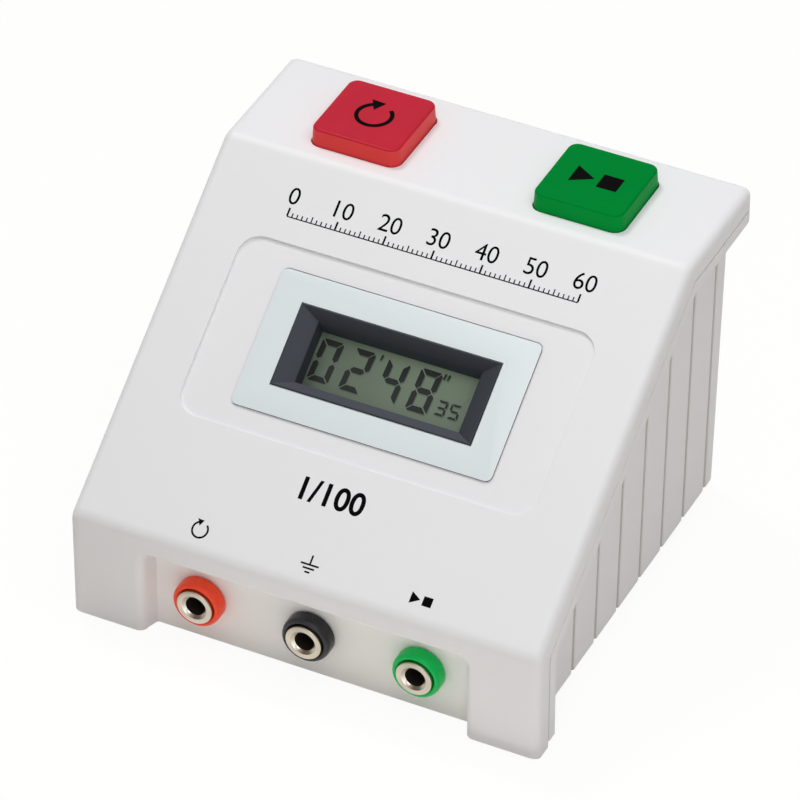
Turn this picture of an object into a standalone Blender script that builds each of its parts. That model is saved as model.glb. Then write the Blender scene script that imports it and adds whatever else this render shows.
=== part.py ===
"""Bench stop-clock: a sloping desk case with a display module, two push buttons and three 4 mm sockets.

Metres, +Z up, X to the right and Y to the back. The origin is on the floor under the middle of the case.
"""

import math

import bmesh
import bpy
from mathutils import Matrix, Vector

# Case, measured over the cover
CASE_WIDTH = 0.1000
CASE_DEPTH = 0.0950
DECK_HEIGHT = 0.0725
DECK_DEPTH = 0.0289
FRONT_HEIGHT = 0.0250
COVER_LIFT = 0.0005
WALL = 0.0025
SIDE_RADIUS = 0.0026
DECK_BREAK_RADIUS = 0.0018
FRONT_BREAK_RADIUS = 0.0035
REAR_RADIUS = 0.0014

# Parting line between cover and base
SKIRT_DEPTH = 0.0044
SEAM_GAP = 0.0004
RIM_HEIGHT = 0.0028
RIM_LIFT = 0.0011

# Base tray
BASE_LIFT = 0.0025
BASE_FLOOR = 0.0022
BASE_WALL = 0.0022
BASE_INSET_TOP = 0.0031
BASE_INSET_BOTTOM = 0.0042
BASE_CORNER_RADIUS = 0.0016
BASE_EDGE = 0.0005
GROOVE_WIDTH = 0.0012
GROOVE_DEPTH = 0.0010
GROOVE_PITCH = 0.0103
GROOVE_REAR_MARGIN = 0.0046
GROOVE_END_MARGIN = 0.0030
MOUTH_MARGIN = 0.0011

# Niche in the front wall and its sockets
NICHE_WIDTH = 0.0688
NICHE_HEIGHT = 0.0194
NICHE_DEPTH = 0.0042
NICHE_DRAFT = 0.0008
NICHE_EDGE_RADIUS = 0.0017
NICHE_CORNER_RADIUS = 0.0022
SOCKET_PITCH = 0.0235
SOCKET_HEIGHT = 0.0105
SOCKET_BORE = 0.0040
SOCKET_BORE_DEPTH = 0.0150
SLEEVE_WALL = 0.0010
SLEEVE_LENGTH = 0.0181
RING_DIAMETER = 0.0076
RING_THICKNESS = 0.0010
RING_PROUD = 0.0003
RING_CHAMFER = 0.0008
COLLAR_DIAMETER = 0.0101
COLLAR_DEPTH = 0.0036
COLLAR_EDGE = 0.0009
COLLAR_DISH = 0.0004
COLLAR_NECK_WALL = 0.0007
WASHER_DIAMETER = 0.0094
WASHER_THICKNESS = 0.0012
TAG_DIAMETER = 0.0084
TAG_THICKNESS = 0.0005
TAG_TAIL_WIDTH = 0.0026
TAG_TAIL_LENGTH = 0.0106
NUT_ACROSS_FLATS = 0.0080
NUT_THICKNESS = 0.0025

# Display, in the slope's own frame: x, distance up the slope, height above it
DISPLAY_MIDDLE = 0.0444
PANEL_WIDTH = 0.0760
PANEL_HEIGHT = 0.0380
PANEL_DEPTH = 0.0007
PANEL_RADIUS = 0.0047
PLATE_WIDTH = 0.0554
PLATE_HEIGHT = 0.0287
PLATE_THICKNESS = 0.0004
PLATE_RADIUS = 0.0009
BEZEL_WIDTH = 0.0426
BEZEL_HEIGHT = 0.0170
BEZEL_FLANGE = 0.0006
BEZEL_RIM = 0.0004
BEZEL_LAP_X = 0.0015
BEZEL_LAP_S = 0.0008
BEZEL_SLOPE_DEPTH = 0.0020
BEZEL_WALL_X = 0.0023
BEZEL_WALL_S = 0.0013
BEZEL_LEDGE = 0.0009
LCD_DEPTH = 0.0058
LCD_THICKNESS = 0.0011
ZEBRA_WIDTH = 0.0014
ZEBRA_HEIGHT = 0.0018
BOARD_THICKNESS = 0.0012
BOARD_MARGIN = 0.0010
FRAME_WALL = 0.0016
FRAME_EAR_LENGTH = 0.0070
FRAME_EAR_WIDTH = 0.0080
FRAME_EAR_THICKNESS = 0.0020
CHIP_DIAMETER = 0.0090
CHIP_HEIGHT = 0.0018
CHIP_X = -0.0070
CRYSTAL_DIAMETER = 0.0030
CRYSTAL_LENGTH = 0.0080
CRYSTAL_X = 0.0090

# Push buttons
BUTTON_FROM_SIDE = 0.0262
BUTTON_FROM_REAR = 0.0158
CAP_WIDTH = 0.0192
CAP_HEIGHT = 0.0037
CAP_RADIUS = 0.0023
CAP_DRAFT = 0.0002
CAP_EDGE = 0.0005
CAP_WALL = 0.0012
CAP_LIP = 0.0012
CAP_LIP_THICKNESS = 0.0012
CAP_FLARE = 0.0008
CAP_CLEARANCE = 0.0004
PLUNGER_DIAMETER = 0.0038
PLUNGER_HEAD_DIAMETER = 0.0080
PLUNGER_HEAD_HEIGHT = 0.0012
PLUNGER_ENGAGEMENT = 0.0037
SPRING_DIAMETER = 0.0064
SPRING_WIRE = 0.0005
SPRING_LENGTH = 0.0088
SPRING_TURNS = 5
SWITCH_WIDTH = 0.0120
SWITCH_HEIGHT = 0.0070
SWITCH_FLOOR = 0.0006
BUTTON_BOARD_THICKNESS = 0.0016
BUTTON_BOARD_SIDE_GAP = 0.0018
BUTTON_BOARD_REAR_GAP = 0.0010
BUTTON_BOARD_POST_MARGIN = 0.0033
BUTTON_POST_FRONT = 0.0302
BUTTON_POST_REAR = 0.0110

# Fasteners, bosses and feet
SCREW_DIAMETER = 0.0028
SCREW_HEAD_DIAMETER = 0.0052
SCREW_HEAD_HEIGHT = 0.0018
SCREW_LENGTH = 0.0090
SMALL_SCREW_LENGTH = 0.0060
BOSS_DIAMETER = 0.0060
POST_DIAMETER = 0.0050
PILLAR_DIAMETER = 0.0084
PILLAR_WEB = 0.0030
CASE_BOSS_LENGTH = 0.0100
CASE_SCREW_SIDE = 0.0110
CASE_SCREW_FRONT = 0.0180
CASE_SCREW_REAR = 0.0112
FOOT_DIAMETER = 0.0090
FOOT_EDGE = 0.0006
FOOT_SIDE = 0.0210
FOOT_FRONT = 0.0160
FOOT_REAR = 0.0130

# Battery and leads
BATTERY_DIAMETER = 0.0142
BATTERY_LENGTH = 0.0495
BATTERY_NIPPLE_DIAMETER = 0.0052
BATTERY_NIPPLE_LENGTH = 0.0012
BATTERY_FROM_FRONT = 0.0530
HOLDER_WALL = 0.0015
HOLDER_HEIGHT = 0.0110
CONTACT_ROOM = 0.0040
CONTACT_THICKNESS = 0.0005
CONTACT_WIDTH = 0.0090
CONTACT_TAIL = 0.0060
CELL_SPRING_DIAMETER = 0.0070
CELL_SPRING_WIRE = 0.0006
CELL_SPRING_TURNS = 2.5
LEAD_DIAMETER = 0.0012
LEAD_PAD_PITCH = 0.0030
LEAD_PAD_ROW = 0.0060

# Clearances: two pieces at rest, a piece in its hole, a cutter past the face it cuts
REST_GAP = 0.0003
FIT_GAP = 0.0002
CUT_MARGIN = 0.0030
LEAST_RADIUS = 0.0002

# Faceting
ROUND_STEPS = 4
TURNED_SIDES = 20
SMALL_SIDES = 12
WIRE_RESOLUTION = 1
LEAD_RESOLUTION = 2

# Derived places
HALF_WIDTH = CASE_WIDTH / 2
FRONT_Y = -CASE_DEPTH / 2
REAR_Y = CASE_DEPTH / 2
BREAK_Y = REAR_Y - DECK_DEPTH
SLOPE_ANGLE = math.atan2(DECK_HEIGHT - FRONT_HEIGHT, BREAK_Y - FRONT_Y)
BELOW = -CUT_MARGIN
RIM_TOP = SKIRT_DEPTH + SEAM_GAP
RIM_BOTTOM = RIM_TOP + RIM_HEIGHT
NICHE_HALF = NICHE_WIDTH / 2
NICHE_TOP = COVER_LIFT + NICHE_HEIGHT
NICHE_FACE_Y = FRONT_Y + NICHE_DEPTH
BASE_FRONT_Y = NICHE_FACE_Y + WALL + REST_GAP
FLOOR_TOP = BASE_LIFT + BASE_FLOOR
CAVITY_X = HALF_WIDTH - BASE_INSET_BOTTOM - BASE_WALL
CAVITY_FRONT_Y = BASE_FRONT_Y + BASE_WALL
CAVITY_REAR_Y = REAR_Y - BASE_INSET_BOTTOM - BASE_WALL
BUTTON_X = HALF_WIDTH - BUTTON_FROM_SIDE
BUTTON_Y = REAR_Y - BUTTON_FROM_REAR
CAP_LIP_TOP = -WALL - REST_GAP
CAP_LIP_SIDES = CAVITY_REAR_Y - REST_GAP - BUTTON_Y
CAP_CEILING = CAP_HEIGHT - CAP_WALL
PLUNGER_TOP = CAP_CEILING - REST_GAP
SPRING_TOP = PLUNGER_TOP - PLUNGER_HEAD_HEIGHT - REST_GAP
SWITCH_TOP = SPRING_TOP - SPRING_LENGTH - REST_GAP
SWITCH_BOTTOM = SWITCH_TOP - SWITCH_HEIGHT
BUTTON_BOARD_TOP = DECK_HEIGHT + SWITCH_BOTTOM - REST_GAP
BUTTON_BOARD_BOTTOM = BUTTON_BOARD_TOP - BUTTON_BOARD_THICKNESS
BUTTON_BOARD_HALF = HALF_WIDTH - CASE_SCREW_SIDE - PILLAR_DIAMETER / 2 - BUTTON_BOARD_SIDE_GAP
BUTTON_BOARD_FRONT_Y = REAR_Y - BUTTON_POST_FRONT - BUTTON_BOARD_POST_MARGIN
PLATE_BOTTOM = FIT_GAP - PANEL_DEPTH
PLATE_TOP = PLATE_BOTTOM + PLATE_THICKNESS
BEZEL_SEAT = FIT_GAP - PANEL_DEPTH
BEZEL_TOP = BEZEL_SEAT + BEZEL_FLANGE
BODY_HALF_X = BEZEL_WIDTH / 2 - BEZEL_LAP_X
BODY_HALF_S = BEZEL_HEIGHT / 2 - BEZEL_LAP_S
LCD_TOP = -LCD_DEPTH - FIT_GAP
LCD_BOTTOM = LCD_TOP - LCD_THICKNESS
ZEBRA_TOP = LCD_BOTTOM - FIT_GAP
BOARD_TOP = ZEBRA_TOP - ZEBRA_HEIGHT - FIT_GAP
BOARD_BOTTOM = BOARD_TOP - BOARD_THICKNESS
BODY_BOTTOM = BOARD_TOP + REST_GAP
GLASS_HALF_X = BODY_HALF_X - BEZEL_LEDGE - FIT_GAP
GLASS_HALF_S = BODY_HALF_S - BEZEL_LEDGE - FIT_GAP
BOARD_HALF_X = BODY_HALF_X + BOARD_MARGIN
BOARD_HALF_S = BODY_HALF_S + BOARD_MARGIN
FRAME_HALF_X = BOARD_HALF_X + REST_GAP + FRAME_WALL
FRAME_HALF_S = BOARD_HALF_S + REST_GAP + FRAME_WALL
FRAME_TOP = -WALL - REST_GAP
FRAME_BOTTOM = BOARD_BOTTOM - REST_GAP
EAR_X = FRAME_HALF_X + FRAME_EAR_LENGTH / 2
EAR_TOP = FRAME_BOTTOM + FRAME_EAR_THICKNESS
SLEEVE_RADIUS = SOCKET_BORE / 2 + SLEEVE_WALL
NECK_RADIUS = SLEEVE_RADIUS + FIT_GAP + COLLAR_NECK_WALL
SCREW_HOLE = SCREW_DIAMETER / 2 + FIT_GAP
WASHER_TOP = -WALL - FIT_GAP
TAG_TOP = WASHER_TOP - WASHER_THICKNESS - FIT_GAP
NUT_TOP = TAG_TOP - TAG_THICKNESS - FIT_GAP
HOLDER_BOTTOM = FLOOR_TOP + FIT_GAP
CELL_Z = HOLDER_BOTTOM + HOLDER_WALL + FIT_GAP + BATTERY_DIAMETER / 2
BATTERY_Y = FRONT_Y + BATTERY_FROM_FRONT
POCKET_HALF_X = BATTERY_LENGTH / 2 + CONTACT_ROOM
POCKET_HALF_Y = BATTERY_DIAMETER / 2 + FIT_GAP


def material(name, red, green, blue, roughness, metallic=0.0):
    """A plain surface whose colour is given in display values from 0 to 255."""
    surface = bpy.data.materials.new(name)
    surface.use_nodes = True
    shader = surface.node_tree.nodes["Principled BSDF"]
    linear = [((value / 255 + 0.055) / 1.055) ** 2.4 for value in (red, green, blue)]
    shader.inputs["Base Color"].default_value = (*linear, 1.0)
    shader.inputs["Roughness"].default_value = roughness
    shader.inputs["Metallic"].default_value = metallic
    return surface


def link(name, data, surface=None, parent=None):
    item = bpy.data.objects.new(name, data)
    bpy.context.scene.collection.objects.link(item)
    item.parent = parent
    if surface:
        data.materials.append(surface)
    return item


def solid(name, bm, surface=None, parent=None):
    """An object from a closed bmesh, with its faces turned outwards and round stretches shaded smooth."""
    bmesh.ops.recalc_face_normals(bm, faces=bm.faces)
    mesh = bpy.data.meshes.new(name)
    bm.to_mesh(mesh)
    bm.free()
    mesh.shade_smooth()
    mesh.set_sharp_from_angle(angle=math.radians(35))
    return link(name, mesh, surface, parent)


def loft(name, rings, surface=None, parent=None):
    """Closed solid through rings that have the same number of points."""
    bm = bmesh.new()
    rows = [[bm.verts.new(point) for point in ring] for ring in rings]
    for low, high in zip(rows, rows[1:]):
        for here in range(len(low)):
            after = (here + 1) % len(low)
            bm.faces.new((low[here], low[after], high[after], high[here]))
    bm.faces.new(rows[0][::-1])
    bm.faces.new(rows[-1])
    return solid(name, bm, surface, parent)


def prism(name, outline, low, high, surface=None, parent=None):
    """An outline in X and Y, extruded from one height to another."""
    return loft(name, [[(x, y, z) for x, y in outline] for z in (low, high)], surface, parent)


def cross_prism(name, outline, half_width):
    """An outline in Y and Z, extruded across the case."""
    return loft(name, [[(x, y, z) for y, z in outline] for x in (-half_width, half_width)])


def block(name, low, high, surface=None, parent=None):
    outline = [(low[0], low[1]), (high[0], low[1]), (high[0], high[1]), (low[0], high[1])]
    return prism(name, outline, low[2], high[2], surface, parent)


def turned(name, outline, sides, surface=None, parent=None):
    """A closed outline of (radius, height) points, turned about Z."""
    bm = bmesh.new()
    rows = []
    for radius, height in outline:
        if radius == 0:
            rows.append([bm.verts.new((0, 0, height))] * sides)
            continue
        turns = [2 * math.pi * side / sides for side in range(sides)]
        rows.append([bm.verts.new((radius * math.cos(t), radius * math.sin(t), height)) for t in turns])
    for low, high in zip(rows, rows[1:] + rows[:1]):
        for side in range(sides):
            after = (side + 1) % sides
            corners = list(dict.fromkeys((low[side], low[after], high[after], high[side])))
            if len(corners) > 2:
                bm.faces.new(corners)
    return solid(name, bm, surface, parent)


def cylinder(name, radius, low, high, sides=SMALL_SIDES, surface=None, parent=None):
    return turned(name, [(0, low), (radius, low), (radius, high), (0, high)], sides, surface, parent)


def combine(target, tool, operation):
    """Joins, cuts or trims a solid by another, which is used up."""
    bpy.context.view_layer.update()
    modifier = target.modifiers.new("combine", "BOOLEAN")
    modifier.operation = operation
    modifier.solver = "EXACT"
    modifier.object = tool
    graph = bpy.context.evaluated_depsgraph_get()
    result = bpy.data.meshes.new_from_object(target.evaluated_get(graph))
    target.modifiers.clear()
    target.data = result
    bpy.data.objects.remove(tool)
    return target


def cut(target, tool):
    return combine(target, tool, "DIFFERENCE")


def join(target, tool):
    return combine(target, tool, "UNION")


def place(item, x, y, z):
    item.location = (x, y, z)
    return item


def rounded(corners, steps=ROUND_STEPS):
    """Points of a closed outline from (point, radius) corners, with an arc where there is a radius."""
    points = []
    for index, (corner, radius) in enumerate(corners):
        corner = Vector(corner)
        if radius == 0:
            points.append(tuple(corner))
            continue
        to_last = (Vector(corners[index - 1][0]) - corner).normalized()
        to_next = (Vector(corners[(index + 1) % len(corners)][0]) - corner).normalized()
        half = to_last.angle(to_next) / 2
        centre = corner + (to_last + to_next).normalized() * radius / math.sin(half)
        first = corner + to_last * radius / math.tan(half) - centre
        last = corner + to_next * radius / math.tan(half) - centre
        sweep = first.angle_signed(last)
        for step in range(steps + 1):
            turn = Matrix.Rotation(-sweep * step / steps, 2)
            points.append(tuple(centre + turn @ first))
    return points


def rounded_box(half_x, half_y, radius, middle_y=0.0):
    corners = ((-half_x, -half_y), (half_x, -half_y), (half_x, half_y), (-half_x, half_y))
    return rounded([((x, y + middle_y), radius) for x, y in corners])


def case_corners(offset):
    """Where the case's planes meet when each is moved inwards: front and slope, then slope and deck."""
    front_y = FRONT_Y + offset
    rise = math.tan(SLOPE_ANGLE)
    drop = offset / math.cos(SLOPE_ANGLE)
    front_z = FRONT_HEIGHT + rise * offset - drop
    deck_y = FRONT_Y + (DECK_HEIGHT - offset + drop - FRONT_HEIGHT) / rise
    return (front_y, front_z), (deck_y, DECK_HEIGHT - offset)


def case_profile(offset, low, rear_y):
    """The case's side outline in Y and Z, with its planes moved inwards by an offset."""
    front_break, deck_break = case_corners(offset)
    return rounded(
        [
            ((front_break[0], low), 0),
            ((rear_y, low), 0),
            ((rear_y, DECK_HEIGHT - offset), max(REAR_RADIUS - offset, LEAST_RADIUS)),
            (deck_break, max(DECK_BREAK_RADIUS - offset, LEAST_RADIUS)),
            (front_break, max(FRONT_BREAK_RADIUS - offset, LEAST_RADIUS)),
        ]
    )


def outer_height(y):
    """Height of the case's outer surface at a depth."""
    return min(DECK_HEIGHT, FRONT_HEIGHT + math.tan(SLOPE_ANGLE) * (y - FRONT_Y))


def quarter(steps=ROUND_STEPS):
    return [math.pi / 2 * step / steps for step in range(steps + 1)]


def cover_post(radius, x, y, low):
    """A boss that grows out of the middle of the cover's wall, whatever its slope there."""
    rings = [[], []]
    for side in range(SMALL_SIDES):
        turn = 2 * math.pi * side / SMALL_SIDES
        px = x + radius * math.cos(turn)
        py = y + radius * math.sin(turn)
        rings[0].append((px, py, low))
        rings[1].append((px, py, outer_height(py) - WALL / 2 / math.cos(SLOPE_ANGLE)))
    return loft("post", rings)


def niche_block():
    """What the cover keeps behind the niche."""
    reach = NICHE_HALF + WALL
    low = (-reach, FRONT_Y - CUT_MARGIN, BELOW - CUT_MARGIN)
    return block("niche_block", low, (reach, NICHE_FACE_Y + WALL, NICHE_TOP + WALL))


def niche_cut():
    """The niche itself, flared at the front for its rounded edge and narrowed to the back by its draft."""
    stations = [(FRONT_Y - CUT_MARGIN, NICHE_EDGE_RADIUS)]
    for turn in quarter():
        y = FRONT_Y + NICHE_EDGE_RADIUS * (1 - math.cos(turn))
        stations.append((y, NICHE_EDGE_RADIUS * (1 - math.sin(turn))))
    stations.append((NICHE_FACE_Y, -NICHE_DRAFT))
    rings = []
    for y, flare in stations:
        half = NICHE_HALF + flare
        top = NICHE_TOP + flare
        radius = NICHE_CORNER_RADIUS + flare
        low_corners = [((-half, BELOW), 0), ((half, BELOW), 0)]
        outline = rounded(low_corners + [((half, top), radius), ((-half, top), radius)])
        rings.append([(x, y, z) for x, z in outline])
    return loft("niche_cut", rings)


def case_screw_places():
    """Where the four case screws stand, with the height at which pillar and boss meet."""
    for y in (FRONT_Y + CASE_SCREW_FRONT, REAR_Y - CASE_SCREW_REAR):
        underside = outer_height(y) - WALL / math.cos(SLOPE_ANGLE)
        for side in (-1, 1):
            yield side * (HALF_WIDTH - CASE_SCREW_SIDE), y, underside - CASE_BOSS_LENGTH


def button_post_places():
    front_y = REAR_Y - BUTTON_POST_FRONT
    return ((-BUTTON_X, front_y), (BUTTON_X, front_y), (0.0, REAR_Y - BUTTON_POST_REAR))


def socket_places():
    return {"reset": -SOCKET_PITCH, "common": 0.0, "start": SOCKET_PITCH}


def button_places():
    return {"reset": -BUTTON_X, "start": BUTTON_X}


def top_cover(slope, surface):
    stations = []
    for turn in quarter():
        x = HALF_WIDTH - SIDE_RADIUS + SIDE_RADIUS * math.sin(turn)
        stations.append((x, SIDE_RADIUS * (1 - math.cos(turn))))
    stations = [(-x, inset) for x, inset in stations[::-1]] + stations
    rings = [[(x, y, z) for y, z in case_profile(inset, COVER_LIFT, REAR_Y - inset)] for x, inset in stations]
    cover = loft("top_cover", rings, surface)

    hollow = cross_prism("hollow", case_profile(WALL, BELOW, REAR_Y - WALL), HALF_WIDTH - WALL)
    profile = case_profile(SKIRT_DEPTH, BELOW, REAR_Y + CUT_MARGIN)
    under = cross_prism("under", profile, HALF_WIDTH + CUT_MARGIN)
    for tool in (hollow, under):
        cut(cover, cut(tool, niche_block()))
    cut(cover, niche_cut())

    for x, y, low in case_screw_places():
        join(cover, cover_post(BOSS_DIAMETER / 2, x, y, low))
        pilot = cylinder("pilot", SCREW_HOLE, low - CUT_MARGIN, low + SCREW_LENGTH - PILLAR_WEB)
        cut(cover, place(pilot, x, y, 0))
    for x, y in button_post_places():
        low = BUTTON_BOARD_TOP + REST_GAP
        join(cover, cover_post(POST_DIAMETER / 2, x, y, low))
        pilot = cylinder("pilot", SCREW_HOLE, low - CUT_MARGIN, low + SMALL_SCREW_LENGTH)
        cut(cover, place(pilot, x, y, 0))
    for side in (-1, 1):
        boss = cylinder("boss", BOSS_DIAMETER / 2, EAR_TOP + REST_GAP, -WALL / 2, parent=slope)
        join(cover, place(boss, side * EAR_X, DISPLAY_MIDDLE, 0))
        pilot_end = EAR_TOP + SMALL_SCREW_LENGTH
        pilot = cylinder("pilot", SCREW_HOLE, EAR_TOP - CUT_MARGIN, pilot_end, parent=slope)
        cut(cover, place(pilot, side * EAR_X, DISPLAY_MIDDLE, 0))

    panel = rounded_box(PANEL_WIDTH / 2, PANEL_HEIGHT / 2, PANEL_RADIUS, DISPLAY_MIDDLE)
    cut(cover, prism("panel", panel, -PANEL_DEPTH, CUT_MARGIN, parent=slope))
    low = (-BODY_HALF_X - FIT_GAP, DISPLAY_MIDDLE - BODY_HALF_S - FIT_GAP, -WALL - CUT_MARGIN)
    high = (BODY_HALF_X + FIT_GAP, DISPLAY_MIDDLE + BODY_HALF_S + FIT_GAP, CUT_MARGIN)
    cut(cover, block("window", low, high, parent=slope))
    for x in button_places().values():
        half = CAP_WIDTH / 2 + CAP_CLEARANCE
        outline = rounded_box(half, half, CAP_RADIUS + CAP_CLEARANCE)
        hole = prism("hole", outline, -WALL - CUT_MARGIN, CUT_MARGIN)
        cut(cover, place(hole, x, BUTTON_Y, DECK_HEIGHT))
    for x in socket_places().values():
        hole = cylinder("hole", NECK_RADIUS + FIT_GAP, -WALL - CUT_MARGIN, CUT_MARGIN, TURNED_SIDES)
        hole.rotation_euler.x = math.radians(90)
        cut(cover, place(hole, x, NICHE_FACE_Y, SOCKET_HEIGHT))
    return cover


def base_plan(inset):
    """The base's outline in X and Y, with its grooves along the sides and the rear."""
    half = HALF_WIDTH - inset
    rear = REAR_Y - inset
    front = BASE_FRONT_Y + inset - BASE_INSET_BOTTOM if inset > BASE_INSET_BOTTOM else BASE_FRONT_Y
    last = REAR_Y - BASE_INSET_BOTTOM - GROOVE_REAR_MARGIN
    count = int((last - BASE_FRONT_Y - GROOVE_END_MARGIN) / GROOVE_PITCH)
    along = [last - GROOVE_PITCH * (count - groove) for groove in range(count + 1)]
    count = int((HALF_WIDTH - BASE_INSET_BOTTOM - GROOVE_END_MARGIN) / GROOVE_PITCH)
    across = [GROOVE_PITCH * groove for groove in range(-count, count + 1)]
    width, depth = GROOVE_WIDTH / 2, GROOVE_DEPTH

    def notch(side, y):
        return [(side * half, y - side * width), (side * (half - depth), y - side * width),
                (side * (half - depth), y + side * width), (side * half, y + side * width)]

    corners = [((-half, front), BASE_CORNER_RADIUS), ((half, front), BASE_CORNER_RADIUS)]
    corners += [(point, 0) for y in along for point in notch(1, y)]
    corners.append(((half, rear), BASE_CORNER_RADIUS))
    for x in across[::-1]:
        corners += [((x + width, rear), 0), ((x + width, rear - depth), 0),
                    ((x - width, rear - depth), 0), ((x - width, rear), 0)]
    corners.append(((-half, rear), BASE_CORNER_RADIUS))
    corners += [(point, 0) for y in along[::-1] for point in notch(-1, y)]
    return rounded(corners)


def base_rim():
    """The strip under the parting line, flush with the cover's sides, as one band over the whole plan."""
    front_high, deck_high = case_corners(RIM_TOP)
    front_low, deck_low = case_corners(RIM_BOTTOM)
    foot = COVER_LIFT + RIM_LIFT
    past = REAR_Y + CUT_MARGIN
    outline = [(front_high[0], foot), (front_low[0], foot), front_low, deck_low, (past, deck_low[1]),
               (past, deck_high[1]), deck_high, front_high]
    rim = cross_prism("rim", outline, HALF_WIDTH + CUT_MARGIN)
    plan = rounded([((-HALF_WIDTH, FRONT_Y), 0), ((HALF_WIDTH, FRONT_Y), 0),
                    ((HALF_WIDTH, REAR_Y), SIDE_RADIUS), ((-HALF_WIDTH, REAR_Y), SIDE_RADIUS)])
    return combine(rim, prism("plan", plan, BELOW, DECK_HEIGHT), "INTERSECT")


def base_tray(surface):
    levels = ((BASE_LIFT, BASE_INSET_BOTTOM + BASE_EDGE), (BASE_LIFT + BASE_EDGE, BASE_INSET_BOTTOM),
              (DECK_HEIGHT, BASE_INSET_TOP))
    base = loft("base_tray", [[(x, y, z) for x, y in base_plan(inset)] for z, inset in levels], surface)
    trim = case_profile((RIM_TOP + RIM_BOTTOM) / 2, BELOW, REAR_Y + CUT_MARGIN)
    combine(base, cross_prism("trim", trim, HALF_WIDTH + CUT_MARGIN), "INTERSECT")
    join(base, base_rim())
    above = DECK_HEIGHT + CUT_MARGIN
    cut(base, block("cavity", (-CAVITY_X, CAVITY_FRONT_Y, FLOOR_TOP), (CAVITY_X, CAVITY_REAR_Y, above)))
    mouth = NICHE_HALF + WALL + MOUTH_MARGIN
    ahead = FRONT_Y - CUT_MARGIN
    cut(base, block("mouth", (-mouth, ahead, FLOOR_TOP), (mouth, CAVITY_FRONT_Y + CUT_MARGIN, above)))
    cut(base, block("lip", (-mouth, ahead, BELOW), (mouth, BASE_FRONT_Y + FIT_GAP, above)))
    for x, y, meet in case_screw_places():
        top = meet - REST_GAP
        join(base, place(cylinder("pillar", PILLAR_DIAMETER / 2, BASE_LIFT + BASE_FLOOR / 2, top), x, y, 0))
        head = cylinder("head", SCREW_HEAD_DIAMETER / 2 + FIT_GAP, BELOW, top - PILLAR_WEB)
        shank = cylinder("shank", SCREW_HOLE, BELOW, top + CUT_MARGIN)
        for tool in (head, shank):
            cut(base, place(tool, x, y, 0))
    return base


def screw(name, length, surface, parent=None):
    """A pan-head screw that points up, with its origin under the head."""
    shank, head, low = SCREW_DIAMETER / 2, SCREW_HEAD_DIAMETER / 2, -SCREW_HEAD_HEIGHT
    outline = [(0, low), (head * 0.6, low), (head, low / 2), (head, 0)]
    outline += [(shank, 0), (shank, length - shank), (0, length)]
    return turned(name, outline, SMALL_SIDES, surface, parent)


def fasteners(slope, surface):
    names = ("front_left", "front_right", "rear_left", "rear_right")
    for name, (x, y, meet) in zip(names, case_screw_places()):
        seat = meet - REST_GAP - PILLAR_WEB - FIT_GAP
        place(screw(f"case_screw_{name}", SCREW_LENGTH, surface), x, y, seat)
    for name, (x, y) in zip(("left", "right", "rear"), button_post_places()):
        item = screw(f"button_board_screw_{name}", SMALL_SCREW_LENGTH, surface)
        place(item, x, y, BUTTON_BOARD_BOTTOM - FIT_GAP)
    for name, side in (("left", -1), ("right", 1)):
        item = screw(f"module_screw_{name}", SMALL_SCREW_LENGTH, surface, slope)
        place(item, side * EAR_X, DISPLAY_MIDDLE, FRAME_BOTTOM - FIT_GAP)


def rubber_feet(surface):
    radius = FOOT_DIAMETER / 2
    top = BASE_LIFT - FIT_GAP
    outline = [(0, 0), (radius - FOOT_EDGE, 0), (radius, FOOT_EDGE), (radius, top), (0, top)]
    for end, y in (("front", FRONT_Y + FOOT_FRONT), ("rear", REAR_Y - FOOT_REAR)):
        for name, side in (("left", -1), ("right", 1)):
            foot = turned(f"rubber_foot_{end}_{name}", outline, TURNED_SIDES, surface)
            place(foot, side * (HALF_WIDTH - FOOT_SIDE), y, 0)


def display_plate(slope, surface):
    outline = rounded_box(PLATE_WIDTH / 2, PLATE_HEIGHT / 2, PLATE_RADIUS, DISPLAY_MIDDLE)
    plate = prism("display_plate", outline, PLATE_BOTTOM, PLATE_TOP, surface, slope)
    half_x, half_s = BEZEL_WIDTH / 2 + FIT_GAP, BEZEL_HEIGHT / 2 + FIT_GAP
    low = (-half_x, DISPLAY_MIDDLE - half_s, PLATE_BOTTOM - CUT_MARGIN)
    return cut(plate, block("window", low, (half_x, DISPLAY_MIDDLE + half_s, CUT_MARGIN), parent=slope))


def frame_ring(half_x, half_s, height):
    corners = ((-half_x, -half_s), (half_x, -half_s), (half_x, half_s), (-half_x, half_s))
    return [(x, s + DISPLAY_MIDDLE, height) for x, s in corners]


def display_bezel(slope, surface):
    """Picture frame with sloped inner faces, a body through the case wall and a ledge over the glass."""
    outer_x, outer_s = BEZEL_WIDTH / 2, BEZEL_HEIGHT / 2
    window_x, window_s = BODY_HALF_X - BEZEL_WALL_X, BODY_HALF_S - BEZEL_WALL_S
    pocket_x, pocket_s = BODY_HALF_X - BEZEL_LEDGE, BODY_HALF_S - BEZEL_LEDGE
    sections = (
        (outer_x, outer_s, BEZEL_TOP), (outer_x, outer_s, BEZEL_SEAT),
        (BODY_HALF_X, BODY_HALF_S, BEZEL_SEAT), (BODY_HALF_X, BODY_HALF_S, BODY_BOTTOM),
        (pocket_x, pocket_s, BODY_BOTTOM), (pocket_x, pocket_s, -LCD_DEPTH),
        (window_x, window_s, -LCD_DEPTH), (window_x, window_s, -BEZEL_SLOPE_DEPTH),
        (outer_x - BEZEL_RIM, outer_s - BEZEL_RIM, BEZEL_TOP),
    )
    bm = bmesh.new()
    rows = [[bm.verts.new(point) for point in frame_ring(*section)] for section in sections]
    for here, after in zip(rows, rows[1:] + rows[:1]):
        for side in range(4):
            bm.faces.new((here[side], here[side - 1], after[side - 1], after[side]))
    return solid("display_bezel", bm, surface, slope)


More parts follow.
